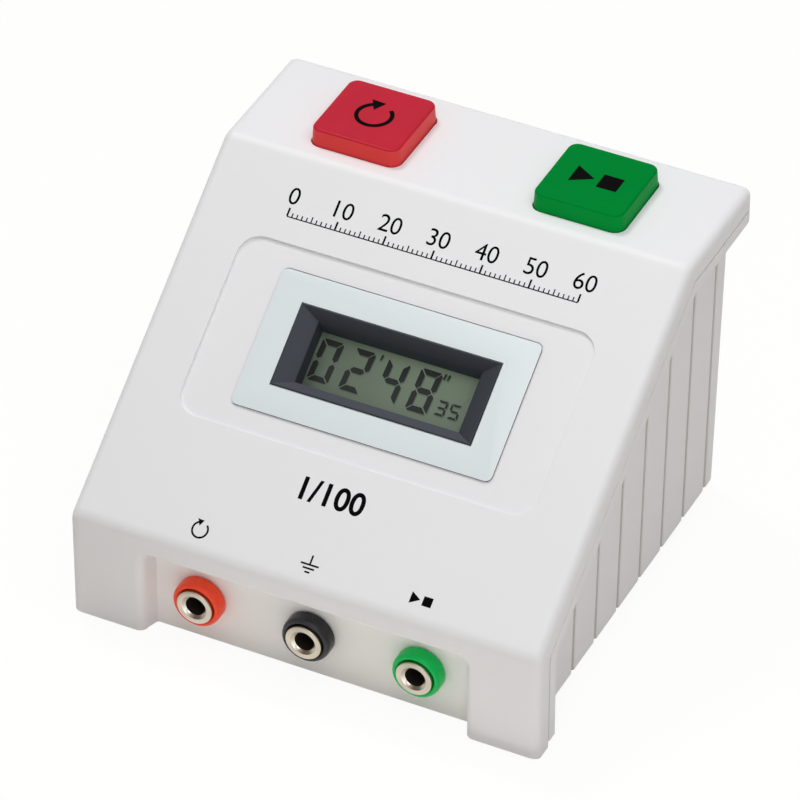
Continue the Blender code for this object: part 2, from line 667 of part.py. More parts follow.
def slope_block(name, x_range, s_range, n_range, surface, slope):
    low, high = zip(x_range, s_range, n_range)
    item = block(name, low, high, surface, slope)
    return place(item, 0, DISPLAY_MIDDLE, 0)


def display_module(slope, glass, rubber, board, black, epoxy, steel):
    x, s = GLASS_HALF_X, GLASS_HALF_S
    slope_block("lcd_glass", (-x, x), (-s, s), (LCD_BOTTOM, LCD_TOP), glass, slope)
    for name, middle in (("upper", s - ZEBRA_WIDTH), ("lower", ZEBRA_WIDTH - s)):
        across = (middle - ZEBRA_WIDTH / 2, middle + ZEBRA_WIDTH / 2)
        heights = (ZEBRA_TOP - ZEBRA_HEIGHT, ZEBRA_TOP)
        slope_block(f"zebra_strip_{name}", (-x, x), across, heights, rubber, slope)
    slope_block("module_board", (-BOARD_HALF_X, BOARD_HALF_X), (-BOARD_HALF_S, BOARD_HALF_S),
                (BOARD_BOTTOM, BOARD_TOP), board, slope)

    frame = slope_block("module_frame", (-FRAME_HALF_X, FRAME_HALF_X), (-FRAME_HALF_S, FRAME_HALF_S),
                        (FRAME_BOTTOM, FRAME_TOP), black, slope)
    reach = FRAME_HALF_X + FRAME_EAR_LENGTH
    ear = FRAME_EAR_WIDTH / 2
    heights = (FRAME_BOTTOM + FIT_GAP, EAR_TOP)
    join(frame, slope_block("ears", (-reach, reach), (-ear, ear), heights, None, slope))
    x, s = BODY_HALF_X + REST_GAP, BODY_HALF_S + REST_GAP
    cut(frame, slope_block("throat", (-x, x), (-s, s), (FRAME_BOTTOM - CUT_MARGIN, CUT_MARGIN), None, slope))
    x, s = BOARD_HALF_X + REST_GAP, BOARD_HALF_S + REST_GAP
    seat = BOARD_TOP + REST_GAP
    cut(frame, slope_block("pocket", (-x, x), (-s, s), (FRAME_BOTTOM - CUT_MARGIN, seat), None, slope))
    for side in (-1, 1):
        hole = cylinder("hole", SCREW_HOLE, FRAME_BOTTOM - CUT_MARGIN, CUT_MARGIN, parent=slope)
        cut(frame, place(hole, side * EAR_X, DISPLAY_MIDDLE, 0))

    top = BOARD_BOTTOM - FIT_GAP
    radius = CHIP_DIAMETER / 2
    outline = [(0, top), (radius, top)]
    outline += [(radius * math.cos(t), top - CHIP_HEIGHT * math.sin(t)) for t in quarter()[1:-1]]
    chip = turned("chip_cover", outline + [(0, top - CHIP_HEIGHT)], TURNED_SIDES, epoxy, slope)
    place(chip, CHIP_X, DISPLAY_MIDDLE, 0)
    half = CRYSTAL_LENGTH / 2
    can = cylinder("crystal_can", CRYSTAL_DIAMETER / 2, -half, half, SMALL_SIDES, steel, slope)
    can.rotation_euler.y = math.radians(90)
    place(can, CRYSTAL_X, DISPLAY_MIDDLE, top - CRYSTAL_DIAMETER / 2)


def tube(name, points, diameter, resolution, surface, parent=None):
    """A round wire or lead through points."""
    curve = bpy.data.curves.new(name, "CURVE")
    curve.dimensions = "3D"
    curve.bevel_depth = diameter / 2
    curve.bevel_resolution = resolution
    curve.use_fill_caps = True
    spline = curve.splines.new("POLY")
    spline.points.add(len(points) - 1)
    for target, point in zip(spline.points, points):
        target.co = (*point, 1.0)
    return link(name, curve, surface, parent)


def coil(radius, low, high, turns):
    """Points along a helix about Z."""
    count = int(turns * 9)
    points = []
    for index in range(count + 1):
        turn = 2 * math.pi * turns * index / count
        height = low + (high - low) * index / count
        points.append(Vector((radius * math.cos(turn), radius * math.sin(turn), height)))
    return points


def push_button(name, x, cap_surface, dark, steel):
    """Cap, plunger, return spring and switch body on one axis, whose empty lies on the deck."""
    axis = place(bpy.data.objects.new(f"{name}_axis", None), x, BUTTON_Y, DECK_HEIGHT)
    bpy.context.scene.collection.objects.link(axis)
    half = CAP_WIDTH / 2
    lip = half + CAP_CLEARANCE + CAP_LIP
    shoulder = half - CAP_DRAFT
    neck = CAP_LIP_SIDES - LEAST_RADIUS  # clears the base's rear wall when the cap is down
    stations = [(CAP_LIP_TOP - CAP_LIP_THICKNESS, lip, CAP_LIP_SIDES), (CAP_LIP_TOP, lip, CAP_LIP_SIDES),
                (CAP_LIP_TOP, half, neck), (CAP_LIP_TOP + CAP_FLARE, half, half), (0, half, half)]
    for turn in quarter():
        reach = shoulder - CAP_EDGE * (1 - math.cos(turn))
        stations.append((CAP_HEIGHT - CAP_EDGE * (1 - math.sin(turn)), reach, reach))
    rings = [[(px, py, z) for px, py in rounded_box(reach_x, reach_y, CAP_RADIUS + reach_y - half)]
             for z, reach_x, reach_y in stations]
    cap = loft(f"{name}_cap", rings, cap_surface, axis)
    inner = half - CAP_WALL
    room = rounded_box(inner, inner, CAP_RADIUS - CAP_WALL)
    cut(cap, prism("room", room, CAP_LIP_TOP - CAP_LIP_THICKNESS - CUT_MARGIN, CAP_CEILING, parent=axis))

    stem, head = PLUNGER_DIAMETER / 2, PLUNGER_HEAD_DIAMETER / 2
    shoulder_z = PLUNGER_TOP - PLUNGER_HEAD_HEIGHT
    foot = SWITCH_TOP - PLUNGER_ENGAGEMENT
    outline = [(0, foot), (stem, foot), (stem, shoulder_z), (head, shoulder_z)]
    outline += [(head, PLUNGER_TOP), (0, PLUNGER_TOP)]
    turned(f"{name}_plunger", outline, SMALL_SIDES, dark, axis)

    wire = SPRING_WIRE / 2
    points = coil(SPRING_DIAMETER / 2, SPRING_TOP - SPRING_LENGTH + wire, SPRING_TOP - wire, SPRING_TURNS)
    tube(f"{name}_spring", points, SPRING_WIRE, WIRE_RESOLUTION, steel, axis)

    body = rounded_box(SWITCH_WIDTH / 2, SWITCH_WIDTH / 2, LEAST_RADIUS)
    switch = prism(f"{name}_switch_body", body, SWITCH_BOTTOM, SWITCH_TOP, dark, axis)
    floor = SWITCH_BOTTOM + SWITCH_FLOOR
    cut(switch, cylinder("well", stem + FIT_GAP, floor, SWITCH_TOP + CUT_MARGIN, parent=axis))


def button_board(surface):
    low = (-BUTTON_BOARD_HALF, BUTTON_BOARD_FRONT_Y, BUTTON_BOARD_BOTTOM)
    high = (BUTTON_BOARD_HALF, CAVITY_REAR_Y - BUTTON_BOARD_REAR_GAP, BUTTON_BOARD_TOP)
    board = block("button_board", low, high, surface)
    for x, y in button_post_places():
        hole = cylinder("hole", SCREW_HOLE, low[2] - CUT_MARGIN, high[2] + CUT_MARGIN)
        cut(board, place(hole, x, y, 0))


def socket(name, x, colour, nickel, tin):
    """Collar, sleeve, washer, tag and nut on one axis, whose empty lies on the niche's face."""
    axis = place(bpy.data.objects.new(f"{name}_socket_axis", None), x, NICHE_FACE_Y, SOCKET_HEIGHT)
    axis.rotation_euler.x = math.radians(90)
    bpy.context.scene.collection.objects.link(axis)
    bore = SLEEVE_RADIUS + FIT_GAP
    rim, ring = COLLAR_DIAMETER / 2, RING_DIAMETER / 2
    ring_top = COLLAR_DEPTH + RING_PROUD
    ring_seat = ring_top - RING_THICKNESS
    collar = [(NECK_RADIUS, FIT_GAP - WALL), (NECK_RADIUS, FIT_GAP), (rim, FIT_GAP)]
    collar.append((rim, COLLAR_DEPTH - COLLAR_EDGE))
    for turn in quarter(3)[1:]:
        height = COLLAR_DEPTH - COLLAR_EDGE * (1 - math.sin(turn))
        collar.append((rim - COLLAR_EDGE * (1 - math.cos(turn)), height))
    collar += [(ring + FIT_GAP, COLLAR_DEPTH - COLLAR_DISH), (ring + FIT_GAP, ring_seat - FIT_GAP)]
    collar += [(bore, ring_seat - FIT_GAP), (bore, FIT_GAP - WALL)]
    turned(f"{name}_socket_collar", collar, TURNED_SIDES, colour, axis)

    hole = SOCKET_BORE / 2
    end = ring_top - SLEEVE_LENGTH
    floor = ring_top - SOCKET_BORE_DEPTH
    sleeve = [(0, end), (SLEEVE_RADIUS, end), (SLEEVE_RADIUS, ring_seat), (ring, ring_seat), (ring, ring_top),
              (hole + RING_CHAMFER, ring_top), (hole, ring_top - RING_CHAMFER), (hole, floor), (0, floor)]
    turned(f"{name}_socket_sleeve", sleeve, TURNED_SIDES, nickel, axis)

    low = WASHER_TOP - WASHER_THICKNESS
    outer = WASHER_DIAMETER / 2
    washer = [(bore, low), (outer, low), (outer, WASHER_TOP), (bore, WASHER_TOP)]
    turned(f"{name}_socket_washer", washer, TURNED_SIDES, colour, axis)

    through = CUT_MARGIN
    low = TAG_TOP - TAG_THICKNESS
    tag = cylinder(f"{name}_socket_tag", TAG_DIAMETER / 2, low, TAG_TOP, TURNED_SIDES, tin, axis)
    half, end = TAG_TAIL_WIDTH / 2, TAG_TAIL_LENGTH
    tail = rounded([((-half, 0), 0), ((half, 0), 0), ((half, end), half), ((-half, end), half)])
    join(tag, prism("tail", tail, low, TAG_TOP, parent=axis))
    cut(tag, cylinder("hole", bore, low - through, TAG_TOP + through, TURNED_SIDES, parent=axis))

    low = NUT_TOP - NUT_THICKNESS
    radius = NUT_ACROSS_FLATS / 2 / math.cos(math.radians(30))
    nut = cylinder(f"{name}_socket_nut", radius, low, NUT_TOP, 6, nickel, axis)
    cut(nut, cylinder("hole", bore, low - through, NUT_TOP + through, TURNED_SIDES, parent=axis))


def battery(holder_surface, cell_surface, steel):
    reach_x, reach_y = POCKET_HALF_X + HOLDER_WALL, POCKET_HALF_Y + HOLDER_WALL
    centre = place(bpy.data.objects.new("battery_centre", None), 0, BATTERY_Y, 0)
    bpy.context.scene.collection.objects.link(centre)
    top = HOLDER_BOTTOM + HOLDER_HEIGHT
    holder = block("battery_holder", (-reach_x, -reach_y, HOLDER_BOTTOM), (reach_x, reach_y, top),
                   holder_surface, centre)
    low = (-POCKET_HALF_X, -POCKET_HALF_Y, HOLDER_BOTTOM + HOLDER_WALL)
    cut(holder, block("pocket", low, (POCKET_HALF_X, POCKET_HALF_Y, top + CUT_MARGIN), parent=centre))

    radius, half, nipple = BATTERY_DIAMETER / 2, BATTERY_LENGTH / 2, BATTERY_NIPPLE_DIAMETER / 2
    shoulder = half - BATTERY_NIPPLE_LENGTH
    outline = [(0, -half), (radius, -half), (radius, shoulder), (nipple, shoulder), (nipple, half), (0, half)]
    cell = turned("battery_cell", outline, TURNED_SIDES, cell_surface, centre)
    cell.rotation_euler.y = math.radians(90)
    slide = CONTACT_ROOM - CONTACT_THICKNESS - 2 * FIT_GAP
    place(cell, slide, 0, CELL_Z)

    outer = POCKET_HALF_X - FIT_GAP
    half_width = CONTACT_WIDTH / 2
    low = (outer - CONTACT_THICKNESS, -half_width, HOLDER_BOTTOM + HOLDER_WALL + FIT_GAP)
    block("battery_contact", low, (outer, half_width, top + CONTACT_TAIL), steel, centre)

    wire = CELL_SPRING_WIRE / 2
    low = -POCKET_HALF_X + FIT_GAP + wire
    high = slide - half - FIT_GAP - wire
    turns = coil(CELL_SPRING_DIAMETER / 2, high, low, CELL_SPRING_TURNS)
    points = [(height, y, CELL_Z + x) for x, y, height in turns]
    end_z = top + CONTACT_TAIL
    last = points[-1]
    points += [(last[0], last[1], last[2] + (end_z - last[2]) * share) for share in (0.35, 0.7, 1.0)]
    tube("battery_spring", points, CELL_SPRING_WIRE, WIRE_RESOLUTION, steel, centre)
    spring_end = Vector((last[0], BATTERY_Y + last[1], end_z))
    return {"positive": Vector((outer, BATTERY_Y, end_z)), "negative": spring_end}


def smooth_path(points, steps=4):
    """Points along a smooth curve through the given ones."""
    points = [Vector(point) for point in points]
    ends = [points[0] * 2 - points[1], *points, points[-1] * 2 - points[-2]]
    path = []
    for a, b, c, d in zip(ends, ends[1:], ends[2:], ends[3:]):
        for step in range(steps):
            t = step / steps
            path.append(0.5 * (2 * b + (c - a) * t + (2 * a - 5 * b + 4 * c - d) * t**2
                               + (3 * b - a - 3 * c + d) * t**3))
    return path + [points[-1]]


def leads(slope, terminals, row):
    """Leads from (name, start, way up or down, surface) to a row of pads on the back of the module board."""
    bpy.context.view_layer.update()
    away = -slope.matrix_world.to_3x3().col[2]
    for index, (name, start, way, surface) in enumerate(terminals):
        column = LEAD_PAD_PITCH * (index - (len(terminals) - 1) / 2)
        pad = slope.matrix_world @ Vector((column, DISPLAY_MIDDLE + row, BOARD_BOTTOM - FIT_GAP))
        near = pad + away * LEAD_PAD_ROW
        start = start + Vector((0, 0, way * FIT_GAP))
        leave = start + Vector((0, 0, way * LEAD_PAD_ROW))
        middle = (near + leave) / 2 + away * LEAD_PAD_PITCH
        path = smooth_path([start, leave, middle, near, pad])
        tube(f"{name}_lead", path, LEAD_DIAMETER, LEAD_RESOLUTION, surface)


def main():
    for item in list(bpy.data.objects):
        bpy.data.objects.remove(item)

    white = material("white_abs", 226, 226, 228, 0.42)
    pale = material("pale_plate", 220, 228, 230, 0.35)
    black = material("black_plastic", 50, 50, 58, 0.45)
    red = material("red_cap", 200, 32, 48, 0.35)
    green = material("green_cap", 0, 135, 50, 0.35)
    orange = material("red_collar", 225, 75, 45, 0.4)
    dark = material("black_collar", 45, 42, 48, 0.4)
    leaf = material("green_collar", 0, 165, 80, 0.4)
    nickel = material("nickel_plate", 215, 200, 185, 0.22, 1.0)
    steel = material("steel", 170, 172, 176, 0.3, 1.0)
    tin = material("tinned_brass", 190, 186, 176, 0.35, 1.0)
    glass = material("display_glass", 110, 125, 100, 0.2)
    rubber = material("grey_rubber", 70, 70, 72, 0.85)
    board = material("green_board", 24, 84, 52, 0.5)
    epoxy = material("epoxy", 22, 22, 24, 0.4)
    wrapper = material("cell_wrapper", 60, 90, 150, 0.4)

    slope = place(bpy.data.objects.new("slope_frame", None), 0, FRONT_Y, FRONT_HEIGHT)
    slope.rotation_euler.x = SLOPE_ANGLE
    bpy.context.scene.collection.objects.link(slope)

    top_cover(slope, white)
    base_tray(white)
    fasteners(slope, steel)
    rubber_feet(rubber)
    display_plate(slope, pale)
    display_bezel(slope, black)
    display_module(slope, glass, rubber, board, black, epoxy, steel)
    for (name, x), surface in zip(button_places().items(), (red, green)):
        push_button(name, x, surface, dark, steel)
    button_board(board)
    for (name, x), surface in zip(socket_places().items(), (orange, dark, leaf)):
        socket(name, x, surface, nickel, tin)
    poles = battery(black, wrapper, steel)
    tag_y = NICHE_FACE_Y - TAG_TOP + TAG_THICKNESS / 2
    tags = {name: Vector((x, tag_y, SOCKET_HEIGHT + TAG_TAIL_LENGTH)) for name, x in socket_places().items()}
    low_row = (
        ("battery_negative", poles["negative"], 1, dark),
        ("reset_socket", tags["reset"], 1, orange),
        ("common_socket", tags["common"], 1, dark),
        ("start_socket", tags["start"], 1, leaf),
        ("battery_positive", poles["positive"], 1, red),
    )
    leads(slope, low_row, -LEAD_PAD_ROW)
    board_edge = Vector((0, BUTTON_BOARD_FRONT_Y + LEAD_PAD_PITCH, BUTTON_BOARD_BOTTOM))
    leads(slope, (("button_board", board_edge, -1, pale),), LEAD_PAD_ROW)


main()
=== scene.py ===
import math

import bmesh
import bpy
from mathutils import Matrix, Vector


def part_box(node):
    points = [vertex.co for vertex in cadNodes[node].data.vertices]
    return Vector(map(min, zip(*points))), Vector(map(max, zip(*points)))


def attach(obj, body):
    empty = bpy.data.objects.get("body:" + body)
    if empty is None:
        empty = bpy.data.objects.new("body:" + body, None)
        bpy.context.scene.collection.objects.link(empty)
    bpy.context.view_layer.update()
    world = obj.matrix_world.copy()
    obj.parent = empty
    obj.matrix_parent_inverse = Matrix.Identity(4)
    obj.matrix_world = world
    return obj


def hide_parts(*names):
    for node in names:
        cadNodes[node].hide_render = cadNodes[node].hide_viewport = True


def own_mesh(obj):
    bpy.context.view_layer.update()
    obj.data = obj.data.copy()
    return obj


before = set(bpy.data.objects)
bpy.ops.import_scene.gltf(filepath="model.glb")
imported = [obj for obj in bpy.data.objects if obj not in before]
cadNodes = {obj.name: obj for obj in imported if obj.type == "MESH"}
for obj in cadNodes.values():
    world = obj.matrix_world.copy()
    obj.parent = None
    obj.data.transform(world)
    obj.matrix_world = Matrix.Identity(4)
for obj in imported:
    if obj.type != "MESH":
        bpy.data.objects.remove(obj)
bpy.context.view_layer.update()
scene = bpy.context.scene
print("frame loaded,", len(cadNodes), "nodes")

# outside of the case, in metres
case = {
    "halfWidth": 0.0500, "frontY": -0.0475, "rearY": 0.0475, "breakY": 0.0186, "deckZ": 0.0725,
    "frontZ": 0.0250, "lift": 0.0005, "wall": 0.0025, "skirt": 0.0044, "seam": 0.00045, "rim": 0.0028,
    "rimFoot": 0.0016, "sideRound": 0.0020, "deckRound": 0.0040, "frontRound": 0.0035, "rearRound": 0.0014,
    "leastRound": 0.0002, "frontEase": 0.6, "roundSteps": 10, "innerSteps": 3,
}
halfWidth, frontY, rearY, deckZ = (case[key] for key in ("halfWidth", "frontY", "rearY", "deckZ"))
slopeAngle = math.atan2(deckZ - case["frontZ"], case["breakY"] - frontY)
slopeFrame = Matrix.Translation((0, frontY, case["frontZ"])) @ Matrix.Rotation(slopeAngle, 4, "X")
displayMiddle = 0.0444  # up the slope
pastFace, throughWall, aboveFace = 0.003, 0.006, 0.002  # how far the cutting tools reach
cornerNames = [f"{end}_{side}" for end in ("front", "rear") for side in ("left", "right")]


def shift(x, y, z=0):
    return Matrix.Translation((x, y, z))


def onSlope(x, s):
    return slopeFrame @ shift(x, s)


displayFrame = onSlope(0, displayMiddle)


def ink(red, green, blue):
    # a colour as the screen shows it, turned into light
    shares = [v / 255 for v in (red, green, blue)]
    return [((v + 0.055) / 1.055) ** 2.4 if v > 0.04045 else v / 12.92 for v in shares] + [1.0]


def setInputs(node, values):
    # a value is a number, a colour, or a node and its output
    for key, value in values.items():
        if isinstance(value, tuple) and isinstance(value[0], bpy.types.Node):
            node.id_data.links.new(value[0].outputs[value[1]], node.inputs[key])
        else:
            node.inputs[key].default_value = value


def addNode(tree, kind, inputs=None, **settings):
    node = tree.nodes.new("ShaderNode" + kind)
    node.location.x = -200 * len(tree.nodes)  # side by side in the editor
    for key, value in settings.items():
        setattr(node, key, value)
    setInputs(node, inputs or {})
    return node


def newFinish(name):
    made = bpy.data.materials.new(name)
    made.use_nodes = True
    tree = made.node_tree
    return made, tree, tree.nodes["Principled BSDF"], (addNode(tree, "TexCoord"), "Object")


plainLook = {
    "drift": 0.03, "cloudScale": 45.0, "cloudDetail": 3.0, "roughDrift": 0.05,
    "grain": 0.12, "grainScale": 2600.0, "grainDetail": 2.0, "grainHeight": 0.00003,
    "metal": 0.0, "specular": 0.5, "coat": 0.0, "coatRough": 0.15,
}


def moulded(name, colour, ownLook):
    # colour drifts gently, roughness follows a cloud, and a fine grain stands on the surface
    look = {**plainLook, **ownLook}
    made, tree, shader, place = newFinish(name)
    light, drift, rough, sway = ink(*colour)[:3], look["drift"], look["rough"], look["roughDrift"]
    darker = [c * (1 - drift) for c in light] + [1.0]
    paler = [min(1.0, c * (1 + drift)) for c in light] + [1.0]
    cloud = addNode(tree, "TexNoise", {
        "Vector": place, "Scale": look["cloudScale"], "Detail": look["cloudDetail"]})
    tint = addNode(tree, "Mix", {"Factor": (cloud, "Fac"), "A": darker, "B": paler}, data_type="RGBA")
    polish = addNode(tree, "MapRange", {
        "Value": (cloud, "Fac"), "To Min": rough - sway, "To Max": rough + sway})
    grain = addNode(tree, "TexNoise", {
        "Vector": place, "Scale": look["grainScale"], "Detail": look["grainDetail"]})
    bump = addNode(tree, "Bump", {
        "Height": (grain, "Fac"), "Strength": look["grain"], "Distance": look["grainHeight"]})
    setInputs(shader, {
        "Base Color": (tint, "Result"), "Roughness": (polish, "Result"), "Normal": (bump, "Normal"),
        "Metallic": look["metal"], "Specular IOR Level": look["specular"],
        "Coat Weight": look["coat"], "Coat Roughness": look["coatRough"]})
    return made


turning = {"rings": 1800.0, "wander": 0.4, "bump": 0.05, "height": 0.00001}
platings = {  # roughness, then the turns round the axis and the colour at each, bands of painted highlight and reflection
    "nickelPlate": (0.2, (
        (0.0, (190, 181, 166)), (0.14, (180, 170, 155)), (0.3, (188, 179, 165)), (0.5, (180, 171, 155)),
        (0.62, (188, 180, 165)), (0.8, (166, 157, 142)), (1.0, (190, 181, 166)))),
    # painted highlight and dark reflection in the socket mouth
    "nickelMouthPaintedReflection": (0.16, (
        (0.0, (180, 168, 152)), (0.125, (246, 240, 230)), (0.19, (172, 158, 142)), (0.25, (104, 92, 78)),
        (0.32, (112, 98, 84)), (0.39, (156, 144, 128)), (0.5, (174, 165, 149)), (0.625, (194, 187, 171)),
        (0.75, (160, 152, 138)), (0.875, (150, 138, 124)), (1.0, (180, 168, 152)))),
}


def turnedMetal(name, rough, stops):
    # plating with painted reflections: bright and dark sectors round the axis are painted highlight and
    # reflection, over fine turning rings
    made, tree, shader, place = newFinish(name)
    sector = addNode(tree, "TexGradient", {"Vector": place}, gradient_type="RADIAL")
    bands = addNode(tree, "ValToRGB", {"Fac": (sector, "Fac")})
    ramp = bands.color_ramp
    for spot, colour in stops[1:-1]:
        ramp.elements.new(spot).color = ink(*colour)
    ramp.elements[0].color, ramp.elements[-1].color = ink(*stops[0][1]), ink(*stops[-1][1])
    rings = addNode(tree, "TexWave", {
        "Vector": place, "Scale": turning["rings"], "Distortion": turning["wander"]},
        wave_type="RINGS", rings_direction="Z")
    bump = addNode(tree, "Bump", {
        "Height": (rings, "Fac"), "Strength": turning["bump"], "Distance": turning["height"]})
    setInputs(shader, {
        "Base Color": (bands, "Color"), "Normal": (bump, "Normal"), "Metallic": 1.0, "Roughness": rough})
    return made


film = {
    "plain": (107, 121, 103), "pale": (131, 148, 126), "paintedShade": (50, 57, 56),
    "paleSpan": (-0.001, 0.0046), "paintedShadeSpan": (0.004, -0.0190), "paintedShadeMost": 0.4,
    "speck": 1500.0, "rough": (0.42, 0.56), "specular": 0.3,
}


def lcdFilm(name):
    # grey-green film, with painted light paler up the slope and painted shade dimmer beside the left wall
    made, tree, shader, place = newFinish(name)
    split = addNode(tree, "SeparateXYZ", {"Vector": place})
    upper = addNode(tree, "MapRange", {
        "Value": (split, "Y"), "From Min": film["paleSpan"][0], "From Max": film["paleSpan"][1]},
        interpolation_type="SMOOTHSTEP")
    left = addNode(tree, "MapRange", {
        "Value": (split, "X"), "From Min": film["paintedShadeSpan"][0], "From Max": film["paintedShadeSpan"][1],
        "To Max": film["paintedShadeMost"]}, interpolation_type="SMOOTHSTEP")
    lift = addNode(tree, "Mix", {
        "Factor": (upper, "Result"), "A": ink(*film["plain"]), "B": ink(*film["pale"])}, data_type="RGBA")
    tint = addNode(tree, "Mix", {
        "Factor": (left, "Result"), "A": (lift, "Result"), "B": ink(*film["paintedShade"])}, data_type="RGBA")
    speck = addNode(tree, "TexNoise", {"Vector": place, "Scale": film["speck"]})
    polish = addNode(tree, "MapRange", {
        "Value": (speck, "Fac"), "To Min": film["rough"][0], "To Max": film["rough"][1]})
    setInputs(shader, {
        "Base Color": (tint, "Result"), "Roughness": (polish, "Result"),
        "Specular IOR Level": film["specular"]})
    return made


whiteLook = {"rough": 0.45, "drift": 0.008, "cloudScale": 60.0, "specular": 0.3}
sheetLook = {"rough": 0.28, "roughDrift": 0.02, "drift": 0.004, "cloudScale": 25.0, "specular": 0.4}
bezelLook = {"rough": 0.5, "drift": 0.06, "grain": 0.35, "grainScale": 3400.0, "specular": 0.15}
capLook = {"rough": 0.34, "grain": 0.2}
mouldings = {  # colour, then what differs from the plain look
    "caseWhite": ((236, 236, 238), whiteLook),
    # painted light for the niche face behind the sockets
    "nichePaintedLight": ((246, 245, 243), whiteLook),
    # painted shade in the grooves of the base
    "groovePaintedShade": ((221, 219, 216), {"rough": 0.55, "drift": 0.02, "specular": 0.2}),
    "plateSheet": ((226, 234, 237), sheetLook),
    # the plate's edge: its own dark edge and painted shade
    "sheetEdgeAndShade": ((52, 55, 57), {"rough": 0.4, "drift": 0.08, "specular": 0.2}),
    "bezelBlack": ((60, 64, 71), bezelLook),
    # painted light on the bezel's lower slope, painted shade on its right slope
    "bezelPaintedLight": ((77, 79, 88), bezelLook),
    "bezelPaintedShade": ((53, 57, 63), bezelLook),
    "segmentDark": ((24, 28, 27), {"rough": 0.5, "drift": 0.06, "specular": 0.25}),
    # painted shadow of the digits on the film
    "segmentShade": ((94, 106, 91), {"rough": 0.6, "drift": 0.05, "specular": 0.2}),
    "printBlack": ((6, 5, 6), {"rough": 0.55, "drift": 0.1, "cloudScale": 400.0, "specular": 0.02}),
    "capRed": ((190, 29, 51), {**capLook, "drift": 0.1, "cloudScale": 160.0, "specular": 0.12}),
    # painted light on the sides of the red cap
    "capRedLitSide": ((233, 67, 67), {**capLook, "drift": 0.05, "specular": 0.1}),
    "capGreen": ((0, 130, 50), {**capLook, "drift": 0.06, "specular": 0.01}),
    # painted light on the sides of the green cap
    "capGreenLitSide": ((0, 152, 60), {**capLook, "drift": 0.05, "specular": 0.03}),
    "collarRed": ((255, 76, 42), {"rough": 0.26, "drift": 0.04, "specular": 0.25}),
    "collarBlack": ((34, 33, 38), {"rough": 0.26, "drift": 0.06, "specular": 0.35}),
    "collarGreen": ((0, 194, 88), {"rough": 0.26, "drift": 0.04, "specular": 0.2}),
    # painted shade down the socket bores
    "borePaintedShade": ((46, 40, 36), {"rough": 0.55, "drift": 0.1, "specular": 0.15}),
    "zincSteel": ((176, 178, 182), {"rough": 0.34, "metal": 1.0, "drift": 0.06}),
    "tinPlate": ((196, 192, 182), {"rough": 0.4, "metal": 1.0, "drift": 0.08}),
    "footRubber": ((58, 58, 60), {"rough": 0.85, "drift": 0.1, "grain": 0.4}),
    "boardGreen": ((26, 88, 54), {"rough": 0.45, "drift": 0.12, "cloudScale": 200.0}),
    "resinBlack": ((24, 24, 26), {"rough": 0.25, "drift": 0.1, "coat": 0.4}),
    "innerBlack": ((40, 40, 44), {"rough": 0.5, "drift": 0.08}),
    "cellSleeve": ((62, 92, 152), {"rough": 0.35, "drift": 0.05}),
    "wireWhite": ((214, 214, 210), {"rough": 0.5, "drift": 0.04}),
}
finishes = {name: moulded(name, *parts) for name, parts in mouldings.items()}
finishes |= {name: turnedMetal(name, *parts) for name, parts in platings.items()}
finishes["lcdFace"] = lcdFilm("lcdFace")
print("finishes made,", len(finishes))


def easing(size, steps):
    # a quarter arc from one face to the next: how far from each at every step
    turns = [math.pi / 2 * s / steps for s in range(steps + 1)]
    return [(size * (1 - math.cos(t)), size * (1 - math.sin(t))) for t in turns]


def roundedOutline(corners, steps):
    points = []
    for index, (corner, radius) in enumerate(corners):
        corner = Vector(corner)
        if radius <= 0:
            points.append(tuple(corner))
            continue
        toLast = (Vector(corners[index - 1][0]) - corner).normalized()
        toNext = (Vector(corners[(index + 1) % len(corners)][0]) - corner).normalized()
        half = toLast.angle(toNext) / 2
        centre = corner + (toLast + toNext).normalized() * radius / math.sin(half)
        first = corner + toLast * radius / math.tan(half) - centre
        last = corner + toNext * radius / math.tan(half) - centre
        sweep = first.angle_signed(last)
        points += [tuple(centre + Matrix.Rotation(-sweep * s / steps, 2) @ first) for s in range(steps + 1)]
    return points


def oblong(left, low, right, top):
    return [(left, low), (right, low), (right, top), (left, top)]


def roundedBox(halfX, halfY, radius, steps=8):
    return roundedOutline([(corner, radius) for corner in oblong(-halfX, -halfY, halfX, halfY)], steps)


def archOutline(half, low, top, radius, steps):
    # square below, rounded at the two upper corners
    return roundedOutline(list(zip(oblong(-half, low, half, top), (0, 0, radius, radius))), steps)


def bridge(bm, rows):
    for low, high in zip(rows, rows[1:]):
        for i in range(len(low)):
            j = (i + 1) % len(low)
            corners = list(dict.fromkeys((low[i], low[j], high[j], high[i])))
            if len(corners) > 2:
                bm.faces.new(corners)


def loftInto(bm, rings, closed=False):
    rows = [[bm.verts.new(p) for p in ring] for ring in rings]
    bridge(bm, rows + rows[:1] if closed else rows)
    if not closed:
        bm.faces.new(rows[0][::-1])
        bm.faces.new(rows[-1])


def ringLoft(rings, closed=False):
    bm = bmesh.new()
    loftInto(bm, rings, closed)
    bmesh.ops.recalc_face_normals(bm, faces=bm.faces)
    return bm


def stackLoft(levels):
    # levels: (height, outline in x and y)
    return ringLoft([[(x, y, z) for x, y in outline] for z, outline in levels])


def crossPrism(outline, reach):
    return ringLoft([[(x, y, z) for y, z in outline] for x in (-reach, reach)])


def boxMesh(low, high):
    outline = oblong(*low[:2], *high[:2])
    return stackLoft([(low[2], outline), (high[2], outline)])


def turnedMesh(outline, sides):
    # outline: (radius, height), turned about z
    bm = bmesh.new()
    turns = [2 * math.pi * s / sides for s in range(sides)]
    rows = []
    for radius, height in outline:
        if radius == 0:
            rows.append([bm.verts.new((0, 0, height))] * sides)
        else:
            rows.append([bm.verts.new((radius * math.cos(t), radius * math.sin(t), height)) for t in turns])
    bridge(bm, rows + rows[:1])
    bmesh.ops.recalc_face_normals(bm, faces=bm.faces)
    return bm


def rod(radius, low, high, sides):
    return turnedMesh([(0, low), (radius, low), (radius, high), (0, high)], sides)


